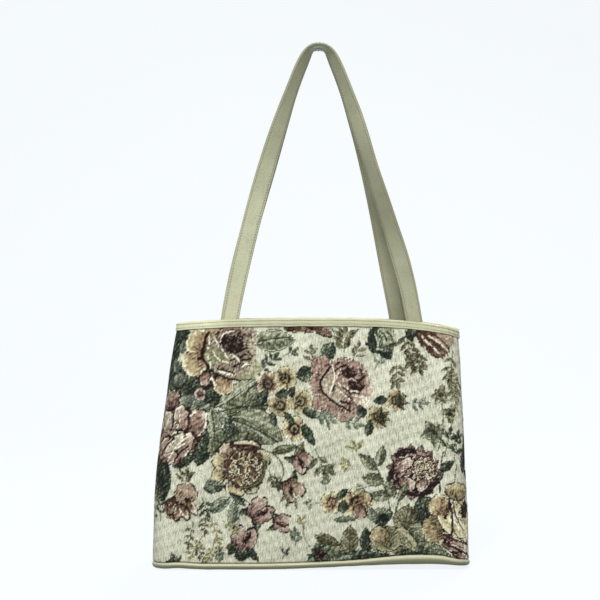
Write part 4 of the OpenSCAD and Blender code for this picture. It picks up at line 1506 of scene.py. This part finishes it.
def strap_leg(centre, pitch, end, lean=0.0, late=0.0):
    """Middle line, facing and across directions of one leg, from its sewn end to the top.

    The end is -1 for the left leg and 1 for the right one. A lean turns the leg further at mid height,
    and a late leg joins the shared arch further up.
    """
    s = np.array([(centre + end * pitch / 2) / (RIM_W / 2 - RIM_R), -1, 1.5 * np.pi])
    beside = s + [0.01, 0, 0]
    foot = wall_by_rim(s, 0, STRAP_MID)
    rim_way = wall_by_rim(beside, 0, STRAP_MID) - foot
    outwards = unit(np.array([rim_way[1], -rim_way[0], 0]))
    u = np.linspace(0, 1, LEG_STEPS)
    reach = end * (FRONT_PITCH + BACK_PITCH) / 4
    top = BODY_H + STRAP_DROP - STRAP_T / 2
    parting = 1 - smooth((u - PART_START) / (PART_END + late - PART_START))
    arch = bezier(reach, reach * LEG_REACH, reach * TOP_REACH, 0, u) + reach * TOP_ROUND * u ** 8 * (1 - u)
    x = HANG_X + arch + (foot[0] - HANG_X - reach) * parting
    y = lerp(foot[1], -STRAP_W / 2 - FIT / 2, u)
    z = bezier(foot[2], lerp(foot[2], top, LEG_RISE), top, top, u)
    leg = np.stack([x, y, z], -1)
    below = np.linspace(-STRAP_SEWN, 0, SEWN_STEPS, endpoint=False)
    tail = wall_by_rim(s[:, None] + 0 * below, below, STRAP_MID)
    line = np.concatenate([tail, leg])
    way = unit(np.gradient(line, axis=0))
    rise = np.concatenate([0 * below, u])
    front = unit(lerp(outwards, np.array([0, -1, 0]), smooth(rise / TURN_START)[:, None]))
    turn = np.pi / 2 * smooth((rise - TURN_START) / (1 - TURN_START)) ** TURN_EASE
    turn = turn - held_between(rise, 0.64, 0.2, 0.84, 0.16, TOP_LEAN)
    turn = turn + held_between(rise, 0.14, 0.16, 0.42, 0.2, lean)
    face = unit(front - way * (front * way).sum(1)[:, None])
    inside = -end * np.cross(way, face)
    c, k = np.cos(turn)[:, None], np.sin(turn)[:, None]
    return line, face * c + inside * k, face * k - inside * c


def strap_line(centre, pitch, mirror):
    """Both legs joined at the top: middle line, facing and across directions."""
    hang = {"late": BACK_LATE} if mirror else {"lean": FRONT_LEAN}
    left = strap_leg(centre, pitch, -1)
    right = strap_leg(centre, pitch, 1, **hang)
    flip = np.array([1, -1 if mirror else 1, 1])
    return [np.concatenate([a, b[-2::-1]]) * flip for a, b in zip(left, right)]


FRONT_STRAP = (STRAP_SHIFT, FRONT_PITCH, False)
BACK_STRAP = (-STRAP_SHIFT, BACK_PITCH, True)
print("front strap", round(length_along(strap_line(*FRONT_STRAP)[0])[-1]), "mm long")

# %% [markdown]
# Now the strap itself. Its section has rounded edges and a groove under each row of stitches, which gives
# the padded look of a folded, sewn strip. Slow waves along it keep the soft leather from looking ruled, and
# near the rim, where the sewing pulls, it is drawn in a little.

# %% Straps
STRAP_ROW = STRAP_W / 2 - 2.1
TAPER, TAPER_H = 0.06, 80
ROW_DEEP, ROW_WIDE, EDGE_ROUND, THIN_EDGE = 0.3, 0.6, 9, 0.02
RIPPLE, INWARDS, EDGE_SHADE, PROUD = 0.12, 0.1, 0.5, 0.1


def strap_taper(line):
    """The strap's width along a line, as a share: drawn in a little near the rim."""
    return 1 - TAPER * (1 - smooth((line[:, 2] - BODY_H) / TAPER_H))


def strap_section(count=23):
    """Places across the strap and half thicknesses: rounded edges and a groove at each stitch row."""
    across = STRAP_W / 2 * np.sin(np.linspace(-np.pi / 2, np.pi / 2, count))
    rounded = (1 - np.abs(2 * across / STRAP_W) ** EDGE_ROUND) ** 0.5
    row = np.exp(-((np.abs(across) - STRAP_ROW) / ROW_WIDE) ** 2)
    half = STRAP_T / 2 * rounded * (0.94 + 0.06 * np.cos(np.pi * across / STRAP_W)) - ROW_DEEP * row
    return across, np.maximum(half, THIN_EDGE), row


def strap_painted_shade(points):
    """Painted shade on the strap: least at its left foot, and most at mid height on its right leg."""
    right = points[..., 0] > HANG_X
    height = points[..., 2] - BODY_H
    painted_light_and_shade = lerp(0.45 * right, 0.42, smooth((height - 10) / 190))
    return painted_light_and_shade + 0.42 * right * np.exp(-((height - 120) / 60) ** 2)


def strap_mesh(name, centre, pitch, mirror):
    """The section carried along the strap, with slight waves of soft leather."""
    line, facing, side = strap_line(centre, pitch, mirror)
    across, half, row = strap_section()
    q = np.concatenate([across, across[-2:0:-1]])[:, None]
    h = np.concatenate([half, -half[-2:0:-1]])[:, None]
    gone = length_along(line)
    # Painted shade: darker in the stitch rows, most at the holes, and along both edges.
    crease_shade = np.concatenate([row, row[-2:0:-1]])[:, None] * (0.15 + 0.25 * stitch_holes(gone))
    crease_shade = crease_shade + (np.abs(q) > STRAP_W / 2 - EDGE_SHADE) * 0.4
    ripple = RIPPLE * waves(gone, 0 * gone, 26, 51) * np.cos(np.pi * q / STRAP_W)
    pucker = stitch_pucker(gone) * (np.abs(q) > STRAP_ROW)
    sideways = q * strap_taper(line) + pucker * np.sign(q) - INWARDS
    points = line + side * sideways[..., None] + facing * (h + ripple)[..., None]
    rows, columns = points.shape[:2]
    ends = [list(np.arange(rows) * columns), list(np.arange(rows) * columns + columns - 1)[::-1]]
    faces = [*grid_faces(rows, columns, round_rows=True), *ends]
    values = {"crease_shade": crease_shade, "painted_light_and_shade": strap_painted_shade(points)}
    return put_mesh(name, points, faces, strap_leather, values=values)


def strap_rows(centre, pitch, mirror):
    """Four rows of stitches: near both edges of both faces."""
    line, facing, side = strap_line(centre, pitch, mirror)
    across, half, _ = strap_section(201)
    high = np.interp(STRAP_ROW, across, half) + PROUD
    reach = side * STRAP_ROW * strap_taper(line)[:, None]
    return [(line + reach * a + facing * b * high, facing * b) for a in (-1, 1) for b in (-1, 1)]


front_strap = strap_mesh("strap_front", *FRONT_STRAP)
front_stitches = stitch_mesh("strap_front_stitches", strap_rows(*FRONT_STRAP))
back_strap = strap_mesh("strap_back", *BACK_STRAP)
back_stitches = stitch_mesh("strap_back_stitches", strap_rows(*BACK_STRAP))

# %% [markdown]
# The stage is a pale sweep, floor and backdrop in one. A backdrop made white by strong lamps would wash out
# the bag too, so the sweep shows its own pale colour to the camera and to reflections, mixed with enough of
# its lit surface to keep the shadow under the bag.

# %% Stage
BACKDROP = (0.945, 0.985, 1.0)
SWEEP_FRONT, SWEEP_BACK, SWEEP_BEND, SWEEP_RISE, SWEEP_HALF = -3.0, 1.6, 1.2, 2.5, 4
SWEEP_ROWS, SWEEP_COLUMNS, SWEEP_BELOW = 60, 9, 0.0004
FLOOR_END, BEND_END = 0.5, 0.8
SHOWN, SHOWN_STRENGTH = 0.72, 1.23


def seen_rays(wire):
    """1 for rays from the camera, also those that come by way of a shine or through glass."""
    kinds = ("Is Camera Ray", "Is Glossy Ray", "Is Transmission Ray")
    return sum(wire.node("LightPath", None, None, kind) for kind in kinds)


def pale_sweep():
    """A sheet that runs back along the floor, bends up in a quarter circle and rises behind the bag."""
    run = np.linspace(0, 1, SWEEP_ROWS)[:, None]
    turn = np.pi / 2 * np.clip((run - FLOOR_END) / (BEND_END - FLOOR_END), 0, 1)
    floor_y = lerp(SWEEP_FRONT, SWEEP_BACK, run / FLOOR_END)
    y = np.where(run < FLOOR_END, floor_y, SWEEP_BACK + SWEEP_BEND * np.sin(turn))
    risen = np.clip((run - BEND_END) / (1 - BEND_END), 0, 1)
    z = SWEEP_BEND - SWEEP_BEND * np.cos(turn) + SWEEP_RISE * risen
    x = np.linspace(-SWEEP_HALF, SWEEP_HALF, SWEEP_COLUMNS)
    points = np.stack(np.broadcast_arrays(x, y, z - SWEEP_BELOW), -1).reshape(-1, 3)
    mesh = bpy.data.meshes.new("sweep")
    mesh.from_pydata(points.tolist(), [], grid_faces(SWEEP_ROWS, SWEEP_COLUMNS).tolist())
    mesh.polygons.foreach_set("use_smooth", np.ones(len(mesh.polygons), bool))
    sweep = bpy.data.objects.new("sweep", mesh)
    bpy.context.scene.collection.objects.link(sweep)
    plain = {"Roughness": 1.0, "Base_Color": (0.4, 0.41, 0.42, 1), "Specular_IOR_Level": 0.0}
    material, place, shader = new_finish("pale_sweep", **plain)
    seen = seen_rays(place) * SHOWN
    glow = place.node("Emission", None, {"Color": (*BACKDROP, 1), "Strength": SHOWN_STRENGTH})
    lit = Wire(material.node_tree, shader.outputs[0])
    mixed = place.node("MixShader", None, {0: seen, 1: lit, 2: glow})
    material.node_tree.links.new(mixed.socket, material.node_tree.nodes["Material Output"].inputs[0])
    mesh.materials.append(material)


pale_sweep()
print("sweep made")

# %% [markdown]
# A large soft lamp lights the bag from in front, high up and a little to the left. A weak one at the right
# opens the shadows, one behind picks out the upper edges, and an even glow from the world fills the rest.
# All stay at a plain level, so that colours show about as they are written.

# %% Light
AIM = (0, 0, 0.2)
GLOW, GLOW_SEEN = 0.22, 0.94


def soft_lamp(name, place, size, power):
    """A square lamp that faces the bag."""
    data = bpy.data.lights.new(name, "AREA")
    data.size = size
    data.energy = power
    lamp = bpy.data.objects.new(name, data)
    lamp.location = place
    way = np.array(AIM) - np.array(place)
    lamp.rotation_euler = (np.arctan2(np.hypot(way[0], way[1]), -way[2]), 0, np.arctan2(-way[0], way[1]))
    bpy.context.scene.collection.objects.link(lamp)


def even_glow():
    """A soft white world, with the backdrop's colour where the camera or a shine sees past the sweep."""
    world = bpy.data.worlds.new("glow")
    world.use_nodes = True
    bpy.context.scene.world = world
    tree = world.node_tree
    tree.nodes["Background"].inputs["Color"].default_value = (1, 1, 1, 1)
    tree.nodes["Background"].inputs["Strength"].default_value = GLOW
    glow = Wire(tree, tree.nodes["Background"].outputs[0])
    pale = glow.node("Background", None, {"Color": (*BACKDROP, 1), "Strength": GLOW_SEEN})
    mixed = glow.node("MixShader", None, {0: seen_rays(glow), 1: glow, 2: pale})
    tree.links.new(mixed.socket, tree.nodes["World Output"].inputs[0])


soft_lamp("key", (-0.35, -2.6, 2.75), size=1.7, power=137)
soft_lamp("fill", (1.7, -1.5, 0.9), size=1.5, power=4)
soft_lamp("back", (0.5, 1.7, 2.1), size=1.0, power=30)
even_glow()
bpy.context.scene.view_settings.view_transform = "Standard"
print("lamps and glow made")

# %% [markdown]
# Each new piece rides on the bag's one body and stands for its frame node, which is hidden; it already
# wears the finish that its row names. Stitches stand for no node, so they only ride; their rows name the
# leather that they are sewn into.

# %% What each piece stands for
dressed = [
    (front_cloth, "front_panel", "tapestry"),
    (back_cloth, "back_panel", "tapestry"),
    (lining_sack, "lining", "lining_cloth"),
    (bound_rim_piece, "rim_binding", "binding_leather"),
    (piping_piece, "base_piping", "piping_leather"),
    (base_piece, "base_panel", "base_leather"),
    (front_strap, "front_strap", "strap_leather"),
    (back_strap, "back_strap", "strap_leather"),
]
for piece, node, slot in dressed:
    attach(piece, "root")
    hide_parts(node)
sewn = [
    (rim_stitches, "binding_leather"),
    (front_stitches, "strap_leather"),
    (back_stitches, "strap_leather"),
]
for stitches, slot in sewn:
    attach(stitches, "root")
print("pieces dressed:", len(dressed) + len(sewn))
